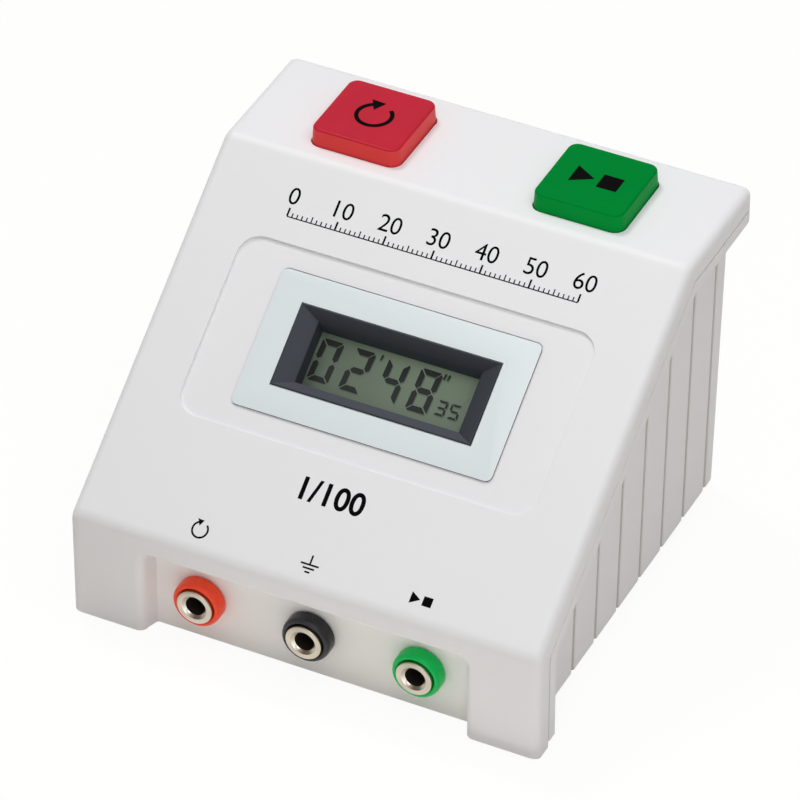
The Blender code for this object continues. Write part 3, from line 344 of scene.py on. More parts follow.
def linked(name, data):
    made = bpy.data.objects.new(name, data)
    scene.collection.objects.link(made)
    return made


def asObject(name, bm, at=None):
    mesh = bpy.data.meshes.new(name)
    bm.to_mesh(mesh)
    bm.free()
    made = linked(name, mesh)
    if at is not None:
        made.matrix_world = at
    return made


def asTool(piece):
    # takes a helper object back as a mesh in its place, to cut or join with
    bm = bmesh.new()
    bm.from_mesh(piece.data)
    bm.transform(piece.matrix_world)
    bpy.data.objects.remove(piece)
    return bm


def carve(target, bm, operation="DIFFERENCE", at=None):
    tool = asObject("carveTool", bm, at)
    bpy.context.view_layer.update()
    step = target.modifiers.new("carve", "BOOLEAN")
    step.operation, step.solver, step.object = operation, "EXACT", tool
    graph = bpy.context.evaluated_depsgraph_get()
    result = bpy.data.meshes.new_from_object(target.evaluated_get(graph))
    target.modifiers.clear()
    target.data = result
    bpy.data.objects.remove(tool)
    return target


def dress(piece, finish, body="case", stands=(), sharp=32, flatWeight=False):
    mesh = piece.data
    mesh.materials.clear()
    for one in [finish] if isinstance(finish, str) else finish:
        mesh.materials.append(finishes[one])
    mesh.shade_smooth()
    mesh.set_sharp_from_angle(angle=math.radians(sharp))
    if flatWeight:  # keeps big flats flat beside their rounded edges
        weigh = piece.modifiers.new("flatFaces", "WEIGHTED_NORMAL")
        weigh.keep_sharp = True
        weigh.weight = 100
    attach(piece, body)
    if stands:
        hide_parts(*stands)
    return piece


def paintFaces(piece, choose):
    # choose gives the number of the finish for a face
    for face in piece.data.polygons:
        face.material_index = int(choose(face))


def nodeSpot(node):
    # middle in x and y, lowest and highest z
    low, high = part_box(node)
    return (low.x + high.x) / 2, (low.y + high.y) / 2, low.z, high.z


def caseCorners(inset, ahead):
    # the front and the deck break, in y and z, of a case shrunk by inset
    rise, drop = math.tan(slopeAngle), inset / math.cos(slopeAngle)
    frontZ = case["frontZ"] + rise * ahead - drop
    deckY = frontY + (deckZ - inset + drop - case["frontZ"]) / rise
    return (frontY + ahead, frontZ), (deckY, deckZ - inset)


def caseProfile(inset, low, rear, steps, ahead):
    frontBreak, deckBreak = caseCorners(inset, ahead)
    least = case["leastRound"]
    return roundedOutline([
        ((frontBreak[0], low), 0), ((rear, low), 0),
        ((rear, deckZ - inset), max(case["rearRound"] - inset, least)),
        (deckBreak, max(case["deckRound"] - inset, least)),
        (frontBreak, max(case["frontRound"] - inset, least)),
    ], steps)


def innerProfile(inset, rear):
    return caseProfile(inset, -pastFace, rear, case["innerSteps"], inset)


niche = {
    "half": 0.0344, "top": 0.0199, "depth": 0.0042, "draft": 0.0008, "draftShare": 0.85,
    "edgeRound": 0.0018, "topRound": 0.0012, "cornerRound": 0.0018, "leastCorner": 0.0004,
    "fillet": 0.0004, "filletStep": 0.0001, "paintedLightReach": 0.0003, "facing": 0.9, "steps": 8,
}
panel = {
    "halfX": 0.0380, "halfS": 0.0190, "corner": 0.0047, "depth": 0.0006, "lip": 0.0001, "foot": 0.0001,
    "steps": 10,
}
plate = {
    "halfX": 0.0277, "halfS": 0.01435, "round": 0.0013, "low": -0.00059, "top": -0.0002, "edge": 0.00008,
    "steps": 6, "slot": 0.00028, "slotDepth": 0.0003, "slotLap": 0.0020, "slotPlay": 0.00004,
    "slotOver": 0.0002, "holePlay": 0.0002,
}
window = {"halfX": 0.0207, "halfS": 0.0081}
caps = {
    "spread": 0.0238, "y": 0.0317, "half": 0.0096, "round": 0.0023, "rise": 0.0037, "draft": 0.0002,
    "edge": 0.0005, "gap": 0.0002, "holeLip": 0.0001, "holeFoot": 0.0001, "steps": 8, "leastRound": 0.0003,
    "lip": 0.0012, "lipThick": 0.0012, "lipSides": 0.0091, "lipPlay": 0.0003, "lipEase": 0.0002,
    "flare": 0.0008, "wall": 0.0012, "hollowLow": -0.008, "hollowRound": 0.001, "dish": 0.0001,
    "dishShares": (0.8, 0.55, 0.3, 0.1), "roundShare": 0.9, "sideTilt": 0.35,
}
sockets = {
    "pitch": 0.0235, "z": 0.0105, "bore": 0.0040, "boreDepth": 0.0150, "boreSpare": 0.0005,
    "sleeveRadius": 0.0030, "length": 0.0181, "ringRadius": 0.0038, "ringThick": 0.0014,
    "ringProud": 0.00055, "ringRound": 0.00025, "ringChamfer": 0.0008, "chamferDepth": 0.00045,
    "brightDepth": 0.0006, "mouthEase": 0.0001, "mouthDip": 0.00008, "throatEase": 0.00005,
    "throatDip": 0.00006, "collarRadius": 0.0051, "collarDepth": 0.00335, "collarRound": 0.0013,
    "collarLand": 0.0007, "collarDish": 0.0005, "collarFoot": 0.0002, "neckRadius": 0.0039,
    "neckLow": -0.0023, "fit": 0.0002, "ringFit": 0.00005, "sides": 80, "drillRadius": 0.0041,
    "drillDepth": 0.005, "drillSides": 40, "dishShares": (0.35, 0.7, 1.0),
}
nicheFaceY = frontY + niche["depth"]


def nicheBlock():
    reach = niche["half"] + case["wall"]
    low = (-reach, frontY - pastFace, -throughWall)
    return boxMesh(low, (reach, nicheFaceY + case["wall"], niche["top"] + case["wall"]))


def nicheCut():
    edge, draft = niche["edgeRound"], niche["draft"]
    stations = [(frontY - pastFace, edge)]
    stations += [(frontY + deep, wide) for deep, wide in easing(edge, niche["steps"])]
    stations.append((nicheFaceY - niche["fillet"], -draft * niche["draftShare"]))
    stations.append((nicheFaceY - niche["filletStep"], -draft - niche["filletStep"]))
    stations.append((nicheFaceY, -draft - niche["fillet"]))  # small fillet at the back
    rings = []
    for y, flare in stations:
        inward = min(max((y - frontY) / niche["topRound"], 0), 1)
        topFlare = min(flare, niche["topRound"] * (1 - math.sqrt(1 - (1 - inward) ** 2)))
        corner = max(niche["cornerRound"] + flare, niche["leastCorner"])
        half, top = niche["half"] + flare, niche["top"] + topFlare
        outline = archOutline(half, -pastFace, top, corner, niche["steps"])
        rings.append([(x, y, z) for x, z in outline])
    return ringLoft(rings)


def slabMesh(halfX, halfS, corner, steps, levels):
    # levels: (height, growth of the outline)
    return stackLoft([(z, roundedBox(halfX + g, halfS + g, corner + g, steps)) for z, g in levels])


def sunkCut(halfX, halfS, corner, depth, lip, foot, steps):
    # rounded lip at the top, small fillet round the floor
    levels = [(aboveFace, lip), *[(-down, out) for down, out in easing(lip, 5)]]
    levels += [(-depth + up, -out) for out, up in easing(foot, 4)]
    return slabMesh(halfX, halfS, corner, steps, levels)


def plateSlot():
    # narrow gap left above the display plate
    low, top = plate["halfS"] - plate["slotLap"], plate["halfS"] + plate["slot"]
    outline = archOutline(plate["halfX"] + plate["slotPlay"], low, top, plate["round"], plate["steps"])
    sunk = -panel["depth"]
    return stackLoft([(sunk - plate["slotDepth"], outline), (sunk + plate["slotOver"], outline)])


def socketPlace(x):
    # z runs out of the niche
    return shift(x, nicheFaceY, sockets["z"]) @ Matrix.Rotation(math.pi / 2, 4, "X")


def gapTo(point, outline):
    # how far a point lies from a closed outline in y and z
    spot = Vector((point.y, point.z))
    nearest = math.inf
    for a, b in zip(outline, outline[1:] + outline[:1]):
        a, b = Vector(a), Vector(b)
        run = b - a
        share = min(max((spot - a).dot(run) / max(run.length_squared, 1e-12), 0), 1)
        nearest = min(nearest, (spot - a - run * share).length)
    return nearest


seams = {
    "coverSoft": 0.0001, "rimTopSoft": 0.0001, "rimLowSoft": 0.0004, "segments": 3, "leastAngle": 0.7,
    "outerX": 0.048, "outerY": 0.0455, "reach": 0.00002, "weld": 0.000002, "merge": 0.000012,
}


def softenSeam(piece, outline, width):
    # rounds the outer edges that lie along the seam
    bm = bmesh.new()
    bm.from_mesh(piece.data)
    bmesh.ops.remove_doubles(bm, verts=bm.verts, dist=seams["weld"])
    chosen = []
    for edge in bm.edges:
        first, last = (v.co for v in edge.verts)
        outside = abs(first.x + last.x) / 2 > seams["outerX"] or (first.y + last.y) / 2 > seams["outerY"]
        if outside and len(edge.link_faces) == 2 and edge.calc_face_angle() > seams["leastAngle"]:
            if max(gapTo(first, outline), gapTo(last, outline)) < seams["reach"]:
                chosen.append(edge)
    bmesh.ops.bevel(bm, geom=chosen, offset=width, segments=seams["segments"], profile=0.5, affect="EDGES",
                    clamp_overlap=True)
    bmesh.ops.remove_doubles(bm, verts=bm.verts, dist=seams["merge"])
    bmesh.ops.dissolve_degenerate(bm, dist=seams["weld"], edges=bm.edges)
    bm.to_mesh(piece.data)
    bm.free()
    return len(chosen)


posts = {
    "case": 0.0030, "board": 0.0025, "below": 0.0041, "hole": 0.0016, "spare": 0.0010, "reachZ": 0.08,
    "bite": 0.6, "module": 0.0030, "moduleX": 0.0262, "moduleLow": -0.0085, "moduleHole": -0.0028,
    "sides": 32, "holeSides": 20,
}


def addPosts(cover):
    # hollow posts that take the case screws, the button board's screws and the display module's screws
    room = innerProfile(case["wall"] * posts["bite"], rearY - case["wall"])
    upright = [(f"case_screw_{corner}", posts["case"]) for corner in cornerNames]
    upright += [(f"button_board_screw_{spot}", posts["board"]) for spot in ("left", "right", "rear")]
    for node, radius in upright:
        x, y, low, high = nodeSpot(node)
        at = shift(x, y)
        tube = asObject("post", rod(radius, low + posts["below"], posts["reachZ"], posts["sides"]), at)
        carve(tube, crossPrism(room, halfWidth), "INTERSECT")
        carve(tube, rod(posts["hole"], 0, high + posts["spare"], posts["holeSides"]), at=at)
        carve(cover, asTool(tube), "UNION")
    low = posts["moduleLow"]
    for x in (-posts["moduleX"], posts["moduleX"]):
        at = onSlope(x, displayMiddle)
        carve(cover, rod(posts["module"], low, -case["wall"] / 2, posts["sides"]), "UNION", at)
        carve(cover, rod(posts["hole"], low - pastFace, posts["moduleHole"], posts["holeSides"]), at=at)


def buildCover():
    steps, wall = case["roundSteps"], case["wall"]
    right = [(halfWidth - short, inset) for inset, short in easing(case["sideRound"], steps)]
    rings = []
    for x, inset in [(-x, inset) for x, inset in right[::-1]] + right:
        outline = caseProfile(inset, case["lift"], rearY - inset, steps, inset * case["frontEase"])
        rings.append([(x, y, z) for y, z in outline])
    cover = asObject("coverShell", ringLoft(rings))
    skirtLine = innerProfile(case["skirt"], rearY + pastFace)
    hollow = crossPrism(innerProfile(wall, rearY - wall), halfWidth - wall)
    under = crossPrism(skirtLine, halfWidth + pastFace)
    for tool in (hollow, under):
        carve(cover, asTool(carve(asObject("shaped", tool), nicheBlock())))
    carve(cover, nicheCut())
    carve(cover, sunkCut(**panel), at=displayFrame)
    carve(cover, plateSlot(), at=displayFrame)
    carve(cover, boxMesh((-window["halfX"], -window["halfS"], -throughWall),
                         (window["halfX"], window["halfS"], pastFace)), at=displayFrame)
    half, corner = caps["half"] + caps["gap"], caps["round"] + caps["gap"]
    for x in (-caps["spread"], caps["spread"]):
        hole = sunkCut(half, half, corner, throughWall, caps["holeLip"], caps["holeFoot"], caps["steps"])
        carve(cover, hole, at=shift(x, caps["y"], deckZ))
    for x in (-sockets["pitch"], 0, sockets["pitch"]):
        drill = rod(sockets["drillRadius"], -sockets["drillDepth"], pastFace, sockets["drillSides"])
        carve(cover, drill, at=socketPlace(x))
    addPosts(cover)
    print("cover seam edges eased,", softenSeam(cover, skirtLine, seams["coverSoft"]))
    dress(cover, ["caseWhite", "nichePaintedLight"], stands=["top_cover"], flatWeight=True)

    def sheltered(face):  # painted light: the face behind the sockets is painted lighter than the rest of the case
        return face.normal.y < -niche["facing"] and abs(face.center.y - nicheFaceY) < niche["paintedLightReach"]

    paintFaces(cover, sheltered)
    return cover


cover = buildCover()
print("cover built,", len(cover.data.polygons), "faces")

base = {
    "lift": 0.0019, "floor": 0.0028, "wall": 0.0022, "insetTop": 0.0031, "insetLow": 0.0042, "edge": 0.0006,
    "corner": 0.0016, "cornerSteps": 6, "frontY": -0.0405, "mouth": 0.0380, "mouthLap": 0.0002,
    "groovePitch": 0.0103, "grooveWidth": 0.0012, "grooveDepth": 0.0010, "grooveLip": 0.0002,
    "grooveTaper": 0.8, "lastGroove": 0.0387, "sideGrooves": 8, "rearGrooves": 9, "shadeFrom": 0.00012,
    "shadePast": 0.0001, "footSeat": 0.0025, "footHollow": 0.0048, "footSides": 48,
}
pillar = {
    "radius": 0.0042, "foot": 0.0035, "over": 0.0030, "headHole": 0.0028, "head": 0.0018,
    "headPlay": 0.0002, "shankHole": 0.0016, "shankLow": 0.004, "shankPast": 0.002, "sides": 32,
    "shankSides": 24,
}


def grooveNotch(middle, wall, along, inward):
    # one groove as outline points, its lips eased
    half, depth, lip = base["grooveWidth"] / 2, base["grooveDepth"], base["grooveLip"]
    foot = half * base["grooveTaper"]
    profile = ((-half - lip, 0), (-half, lip), (-foot, depth), (foot, depth), (half, lip), (half + lip, 0))
    points = [Vector(wall) + Vector(along) * (middle + a) + Vector(inward) * d for a, d in profile]
    return [(point.to_tuple(), 0) for point in points]


def basePlan(inset):
    half, rear, corner = halfWidth - inset, rearY - inset, base["corner"]
    front = base["frontY"] + max(0, inset - base["insetLow"])
    along = [base["lastGroove"] - base["groovePitch"] * g for g in range(base["sideGrooves"])][::-1]
    across = [base["groovePitch"] * (g - (base["rearGrooves"] - 1) / 2) for g in range(base["rearGrooves"])]
    corners = [((-half, front), corner), ((half, front), corner)]
    for y in along:
        corners += grooveNotch(y, (half, 0), (0, 1), (-1, 0))
    corners.append(((half, rear), corner))
    for x in across:
        corners += grooveNotch(x, (0, rear), (-1, 0), (0, -1))
    corners.append(((-half, rear), corner))
    for y in along[::-1]:
        corners += grooveNotch(-y, (-half, 0), (0, -1), (1, 0))
    return roundedOutline(corners, base["cornerSteps"])


def inGroove(spot):
    # painted shade greys the grooves, not the staves between them
    rise = (spot.z - base["lift"]) / (deckZ - base["lift"])
    inset = base["insetLow"] + (base["insetTop"] - base["insetLow"]) * rise
    pitch, reach = base["groovePitch"], base["grooveWidth"] / 2 + base["grooveLip"]
    deepest = base["grooveDepth"] + base["shadePast"]
    side = (halfWidth - inset - abs(spot.x), spot.y - base["lastGroove"])
    rear = (rearY - inset - spot.y, spot.x)
    for sunk, place in (side, rear):
        off = abs(place / pitch - round(place / pitch)) * pitch
        if base["shadeFrom"] < sunk < deepest and off < reach:
            return True
    return False


def buildBase():
    low = base["insetLow"]
    levels = [(base["lift"] + up, low + inset) for up, inset in easing(base["edge"], 3)]
    levels.append((deckZ, base["insetTop"]))
    tray = asObject("baseShell", stackLoft([(z, basePlan(inset)) for z, inset in levels]))
    rimTop = case["skirt"] + case["seam"]
    rimLow = rimTop + case["rim"]
    behind, beside, rimFoot = rearY + pastFace, halfWidth + pastFace, case["rimFoot"]
    carve(tray, crossPrism(innerProfile(rimTop + case["rim"] / 2, behind), beside), "INTERSECT")
    frontHigh, deckHigh = caseCorners(rimTop, rimTop)
    frontLow, deckLow = caseCorners(rimLow, rimLow)
    upper = [(frontHigh[0], rimFoot), frontHigh, deckHigh, (behind, deckHigh[1])]
    lower = [(frontLow[0], rimFoot), frontLow, deckLow, (behind, deckLow[1])]
    rim = asObject("rim", crossPrism(upper[:1] + lower + upper[:0:-1], beside))
    plan = archOutline(halfWidth, frontY, rearY, case["sideRound"], case["roundSteps"])
    carve(rim, stackLoft([(-pastFace, plan), (deckZ, plan)]), "INTERSECT")
    carve(tray, asTool(rim), "UNION")
    floorTop, above = base["lift"] + base["floor"], deckZ + pastFace
    inX, inRear = halfWidth - low - base["wall"], rearY - low - base["wall"]
    inFront, ahead, mouth = base["frontY"] + base["wall"], frontY - pastFace, base["mouth"]
    carve(tray, boxMesh((-inX, inFront, floorTop), (inX, inRear, above)))
    carve(tray, boxMesh((-mouth, ahead, floorTop), (mouth, inFront + pastFace, above)))
    carve(tray, boxMesh((-mouth, ahead, -pastFace), (mouth, base["frontY"] + base["mouthLap"], above)))
    for corner in cornerNames:  # pillars over the case screws
        x, y, lowest, _ = nodeSpot(f"case_screw_{corner}")
        place = shift(x, y)
        seat = lowest + pillar["head"] + pillar["headPlay"]
        top = seat + pillar["over"]
        carve(tray, rod(pillar["radius"], pillar["foot"], top, pillar["sides"]), "UNION", place)
        carve(tray, rod(pillar["headHole"], -pastFace, seat, pillar["sides"]), at=place)
        shank = rod(pillar["shankHole"], pillar["shankLow"], top + pillar["shankPast"], pillar["shankSides"])
        carve(tray, shank, at=place)
    for corner in cornerNames:  # shallow hollows that seat the feet
        x, y, _, _ = nodeSpot(f"rubber_foot_{corner}")
        hollow = rod(base["footHollow"], -pastFace, base["footSeat"], base["footSides"])
        carve(tray, hollow, at=shift(x, y))
    softened = softenSeam(tray, upper + upper[2:0:-1], seams["rimTopSoft"])
    softened += softenSeam(tray, lower + lower[2:0:-1], seams["rimLowSoft"])
    print("rim edges eased,", softened)
    dress(tray, ["caseWhite", "groovePaintedShade"], stands=["base_tray"], flatWeight=True)
    paintFaces(tray, lambda face: inGroove(face.center))
    return tray


tray = buildBase()
print("base built,", len(tray.data.polygons), "faces")

buttons = {
    "reset": {"x": -caps["spread"], "finish": ["capRed", "capRedLitSide"], "slot": "red_cap"},
    "start": {"x": caps["spread"], "finish": ["capGreen", "capGreenLitSide"], "slot": "green_cap"},
}


def capMesh():
    half, shoulder, edge, rise = caps["half"], caps["half"] - caps["draft"], caps["edge"], caps["rise"]
    lipTop = -case["wall"] - caps["lipPlay"]
    lipX, lipY = half + caps["gap"] + caps["lip"], caps["lipSides"]
    levels = [
        (lipTop - caps["lipThick"], lipX, lipY), (lipTop, lipX, lipY), (lipTop, half, lipY - caps["lipEase"]),
        (lipTop + caps["flare"], half, half), (0, half, half),
    ]
    levels += [(rise - down, shoulder - out, shoulder - out) for out, down in easing(edge, caps["steps"])]
    inner = shoulder - edge
    for share in caps["dishShares"]:  # the top dips a hair towards its middle
        levels.append((rise - caps["dish"] * (1 - share ** 2), inner * share, inner * share))
    rings = []
    for z, reachX, reachY in levels:
        corner = min(max(caps["round"] + reachY - half, caps["leastRound"]), reachY * caps["roundShare"])
        rings.append((z, roundedBox(reachX, reachY, corner, caps["steps"])))
    return stackLoft(rings)


def buildButton(name, button):
    at = shift(button["x"], caps["y"], deckZ)
    cap = asObject(f"{name}Cap", capMesh(), at)
    inner = caps["half"] - caps["wall"]
    outline = roundedBox(inner, inner, caps["hollowRound"], 4)
    carve(cap, stackLoft([(caps["hollowLow"], outline), (caps["rise"] - caps["wall"], outline)]), at=at)
    dress(cap, button["finish"], f"{name}_button", [f"{name}_cap"])
    # painted light: the sides are painted lighter than the top
    paintFaces(cap, lambda face: face.normal.z < caps["sideTilt"])


springs = {
    "radius": 0.0032, "wire": 0.0005, "turns": 5, "endRise": 0.00055, "turnSteps": 28, "wireSides": 10,
    "travel": 0.0020, "sharp": 60,
}


def buildSpring(name, button):
    # wound wire with close end turns, which shortens as its cap goes down
    low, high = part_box(f"{name}_spring")
    length, thin, openTurns = high.z - low.z, springs["wire"] / 2, springs["turns"] - 2
    openRise = (length - springs["wire"] - 2 * springs["endRise"]) / openTurns
    sides = [2 * math.pi * s / springs["wireSides"] for s in range(springs["wireSides"])]
    rings = []
    for step in range(springs["turns"] * springs["turnSteps"] + 1):
        turn = step / springs["turnSteps"]
        opened = min(max(turn - 1, 0), openTurns)
        height = thin + springs["endRise"] * (turn - opened) + openRise * opened
        across, up = math.cos(2 * math.pi * turn), math.sin(2 * math.pi * turn)
        reach = [(springs["radius"] + thin * math.cos(t), height + thin * math.sin(t)) for t in sides]
        rings.append([(r * across, r * up, z) for r, z in reach])
    seat = (button["x"], caps["y"], low.z)
    piece = asObject(f"{name}Spring", ringLoft(rings), Matrix.Translation(seat))
    dress(piece, "zincSteel", stands=[f"{name}_spring"], sharp=springs["sharp"])
    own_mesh(piece)


for name, button in buttons.items():
    buildButton(name, button)
    buildSpring(name, button)
print("buttons built")

bezel = {
    "halfX": 0.0213, "halfS": 0.0085, "seat": -0.0005, "top": 0.0001, "rim": 0.00018, "soft": 0.00012,
    "bodyX": 0.0205, "bodyS": 0.0080, "slopeDepth": 0.0020, "windowX": 0.0175, "windowS": 0.0064,
    "lean": 0.0008, "lcdDepth": 0.0058, "foot": -0.0090, "pocketX": 0.0189, "pocketS": 0.0068,
}
lcd = {
    "halfX": 0.0187, "halfS": 0.0066, "top": -0.0060, "low": -0.0071, "edge": 0.0001, "round": 0.0003,
    "shadeShift": (0.00022, -0.00028, 0), "shadeHeight": 0.00001, "digitHeight": 0.00003,
}
tilted = 0.3  # share of a normal that tells an edge or a sloped face from a flat one


def buildPlate():
    edge, top = plate["edge"], plate["top"]
    levels = [(plate["low"], 0), (top - edge, 0), *[(top - down, -out) for out, down in easing(edge, 3)[1:]]]
    sheet = slabMesh(plate["halfX"], plate["halfS"], plate["round"], plate["steps"], levels)
    piece = asObject("displayPlate", sheet, displayFrame)
    holeX, holeS = bezel["halfX"] + plate["holePlay"], bezel["halfS"] + plate["holePlay"]
    carve(piece, boxMesh((-holeX, -holeS, -aboveFace), (holeX, holeS, aboveFace)), at=displayFrame)
    dress(piece, ["plateSheet", "sheetEdgeAndShade"], stands=["display_plate"])
    # the edge of the sheet is darker than its face: partly the clear sheet's own dark edge, partly painted
    # shade along the plate's rim
    paintFaces(piece, lambda face: abs(face.normal.z) < tilted)


def buildBezel():
    outerX, outerS, top = bezel["halfX"], bezel["halfS"], bezel["top"]
    pocket, body = (bezel["pocketX"], bezel["pocketS"]), (bezel["bodyX"], bezel["bodyS"])
    opening, deep = (bezel["windowX"], bezel["windowS"]), -bezel["lcdDepth"]
    sections = [
        (*pocket, bezel["foot"]), (*body, bezel["foot"]),
        (*body, bezel["seat"]), (outerX, outerS, bezel["seat"]),
        *[(outerX - out, outerS - out, top - down) for out, down in easing(bezel["soft"], 3)],
        (outerX - bezel["rim"], outerS - bezel["rim"], top),
        (*opening, -bezel["slopeDepth"]), (*opening, deep), (*pocket, deep),
    ]
    rings = []
    for x, s, z in sections:
        high = s - bezel["lean"] if (x, z) == (bezel["windowX"], deep) else s  # upper wall leans in
        rings.append([(-x, -s, z), (x, -s, z), (x, high, z), (-x, high, z)])
    piece = asObject("displayBezel", ringLoft(rings, closed=True), displayFrame)
    dress(piece, ["bezelBlack", "bezelPaintedLight", "bezelPaintedShade"],
          stands=["display_bezel"])

    def slopeShade(face):  # painted light on the lower slope, which faces the sky, and painted shade on the right one, which turns away from it
        if face.normal.z <= tilted:
            return 0
        return 1 if face.normal.y > tilted else 2 if face.normal.x < -tilted else 0

    paintFaces(piece, slopeShade)


readout = {
    "large": [("0", -0.01475), ("2", -0.0079), ("4", -0.0005), ("8", 0.0064)],
    "small": [("3", 0.0109), ("5", 0.0137)],
    "largeSizes": (0.0046, 0.0088, 0.00118), "smallSizes": (0.0022, 0.0031, 0.00047),  # width, height, bar
    "largeS": 0.0002, "smallS": -0.0020, "lean": 0.045, "gapShare": 0.15, "clipShare": 0.3,
    "ticks": (-0.0043, 0.0092, 0.0100),  # one for minutes, two for seconds
    "tickShape": ((0, 0.0047), (0.00045, 0.0047), (0.00016, 0.0035), (-0.00012, 0.0035)),
}


def segmentShapes(width, height, thick, gap):
    # the seven bars of a digit, as outlines with pointed ends and clipped outer corners
    w, h, t, g = width / 2, height / 2, thick, gap
    m, c = t / 2, t * readout["clipShare"]
    top = [(-w + g + c, h), (w - g - c, h), (w - g - c / 2, h - c / 2),
           (w - t - g, h - t), (-w + t + g, h - t), (-w + g + c / 2, h - c / 2)]
    side = [(-w, h - g - c), (-w + c / 2, h - g - c / 2), (-w + t, h - t - g),
            (-w + t, m + g), (-w + m, g), (-w, m + g / 2)]
    middle = [(-w + m + g, 0), (-w + t + g, m), (w - t - g, m),
              (w - m - g, 0), (w - t - g, -m), (-w + t + g, -m)]
    return {
        "a": top, "d": [(x, -y) for x, y in top], "g": middle, "f": side, "b": [(-x, y) for x, y in side],
        "e": [(x, -y) for x, y in side], "c": [(-x, -y) for x, y in side],
    }


segmentsOf = {  # every digit, so that the readout can be changed
    "0": "abcdef", "1": "bc", "2": "abged", "3": "abgcd", "4": "fgbc",
    "5": "afgcd", "6": "afgedc", "7": "abc", "8": "abcdefg", "9": "abcdfg",
}


def flatPrint(name, outlines, at, finish, height=0.00003, sink=0.00001, body="case"):
    bm = bmesh.new()
    for outline in outlines:
        loftInto(bm, [[(x, y, z) for x, y in outline] for z in (-sink, height)])
    bmesh.ops.recalc_face_normals(bm, faces=bm.faces)
    return dress(asObject(name, bm, at), finish, body)


def readoutOutlines():
    outlines = []
    for size in ("large", "small"):
        width, height, thick = readout[f"{size}Sizes"]
        shapes = segmentShapes(width, height, thick, thick * readout["gapShare"])
        s = readout[f"{size}S"]
        for char, x in readout[size]:
            for key in segmentsOf[char]:
                outlines.append([(x + px + py * readout["lean"], s + py) for px, py in shapes[key]])
    for x in readout["ticks"]:
        outlines.append([(x + px, py) for px, py in readout["tickShape"]])
    return outlines


def buildGlass():
    edge, top = lcd["edge"], lcd["top"]
    levels = [(lcd["low"], 0), (top - edge, 0), (top, -edge)]
    outlines = [(z, roundedBox(lcd["halfX"] + g, lcd["halfS"] + g, lcd["round"], 3)) for z, g in levels]
    glass = asObject("lcdGlass", stackLoft(outlines), displayFrame)
    dress(glass, "lcdFace", stands=["lcd_glass"])
    face = displayFrame @ shift(0, 0, top)
    # painted shadow: a copy of the digits, offset on the film beneath them
    shade = face @ Matrix.Translation(lcd["shadeShift"])
    flatPrint("readoutShade", readoutOutlines(), shade, "segmentShade", height=lcd["shadeHeight"])
    flatPrint("readoutDigits", readoutOutlines(), face, "segmentDark", height=lcd["digitHeight"])


buildPlate()
buildBezel()
buildGlass()
print("display built")

socketSet = {
    "reset": {"x": -sockets["pitch"], "finish": "collarRed", "slot": "red_collar"},
    "common": {"x": 0.0, "finish": "collarBlack", "slot": "black_collar"},
    "start": {"x": sockets["pitch"], "finish": "collarGreen", "slot": "green_collar"},
}


def collarOutline(ringSeat):
    fit, depth = sockets["fit"], sockets["collarDepth"]
    rim, neck, foot = sockets["collarRadius"], sockets["neckRadius"], sockets["collarFoot"]
    bore, lip = sockets["sleeveRadius"] + fit, sockets["ringRadius"] + sockets["ringFit"]
    outline = [(neck, sockets["neckLow"]), (neck, fit), (rim - foot, fit), (rim, fit + foot)]
    outline += [(rim - sockets["collarLand"] * out, depth - sockets["collarRound"] * down)
                for out, down in easing(1, 10)]
    land = rim - sockets["collarLand"]
    fall = land - lip
    for share in sockets["dishShares"]:  # dished towards the ring
        outline.append((land - fall * share, depth - sockets["collarDish"] * share ** 2))
    return outline + [(lip, ringSeat - fit), (bore, ringSeat - fit), (bore, sockets["neckLow"])]


def sleeveOutline(ringTop, ringSeat):
    hole, ring, barrel = sockets["bore"] / 2, sockets["ringRadius"], sockets["sleeveRadius"]
    end, boreEnd = ringTop - sockets["length"], ringTop - sockets["boreDepth"]
    mouth, throat = hole + sockets["ringChamfer"], ringTop - sockets["chamferDepth"]
    ease = sockets["mouthEase"]
    outline = [(0, end), (barrel, end), (barrel, ringSeat), (ring, ringSeat)]
    outline += [(ring - out, ringTop - down) for out, down in easing(sockets["ringRound"], 4)]
    outline += [
        (mouth + ease, ringTop), (mouth - ease, ringTop - sockets["mouthDip"]),
        (hole + sockets["throatEase"], throat), (hole, throat - sockets["throatDip"]),
    ]
    return outline + [(hole, ringTop - sockets["brightDepth"]), (hole, boreEnd), (0, boreEnd)]


def buildSocket(name, socket):
    at = socketPlace(socket["x"])
    ringTop = sockets["collarDepth"] + sockets["ringProud"]
    ringSeat = ringTop - sockets["ringThick"]
    collar = asObject(f"{name}Collar", turnedMesh(collarOutline(ringSeat), sockets["sides"]), at)
    dress(collar, socket["finish"], stands=[f"{name}_socket_collar"])
    sleeve = asObject(f"{name}Sleeve", turnedMesh(sleeveOutline(ringTop, ringSeat), sockets["sides"]), at)
    dress(sleeve, ["nickelPlate", "nickelMouthPaintedReflection", "borePaintedShade"],
          stands=[f"{name}_socket_sleeve"])
    inside = sockets["bore"] / 2 + sockets["ringChamfer"] - sockets["mouthEase"]
    lowest = ringTop - sockets["boreDepth"] - sockets["boreSpare"]

    def boreShade(face):  # painted reflection on the mouth, painted shade down the bore
        if math.hypot(face.center.x, face.center.y) >= inside or face.center.z <= lowest:
            return 0
        return 1 if face.center.z > ringTop - sockets["brightDepth"] else 2

    paintFaces(sleeve, boreShade)


for name, socket in socketSet.items():
    buildSocket(name, socket)
print("sockets built")

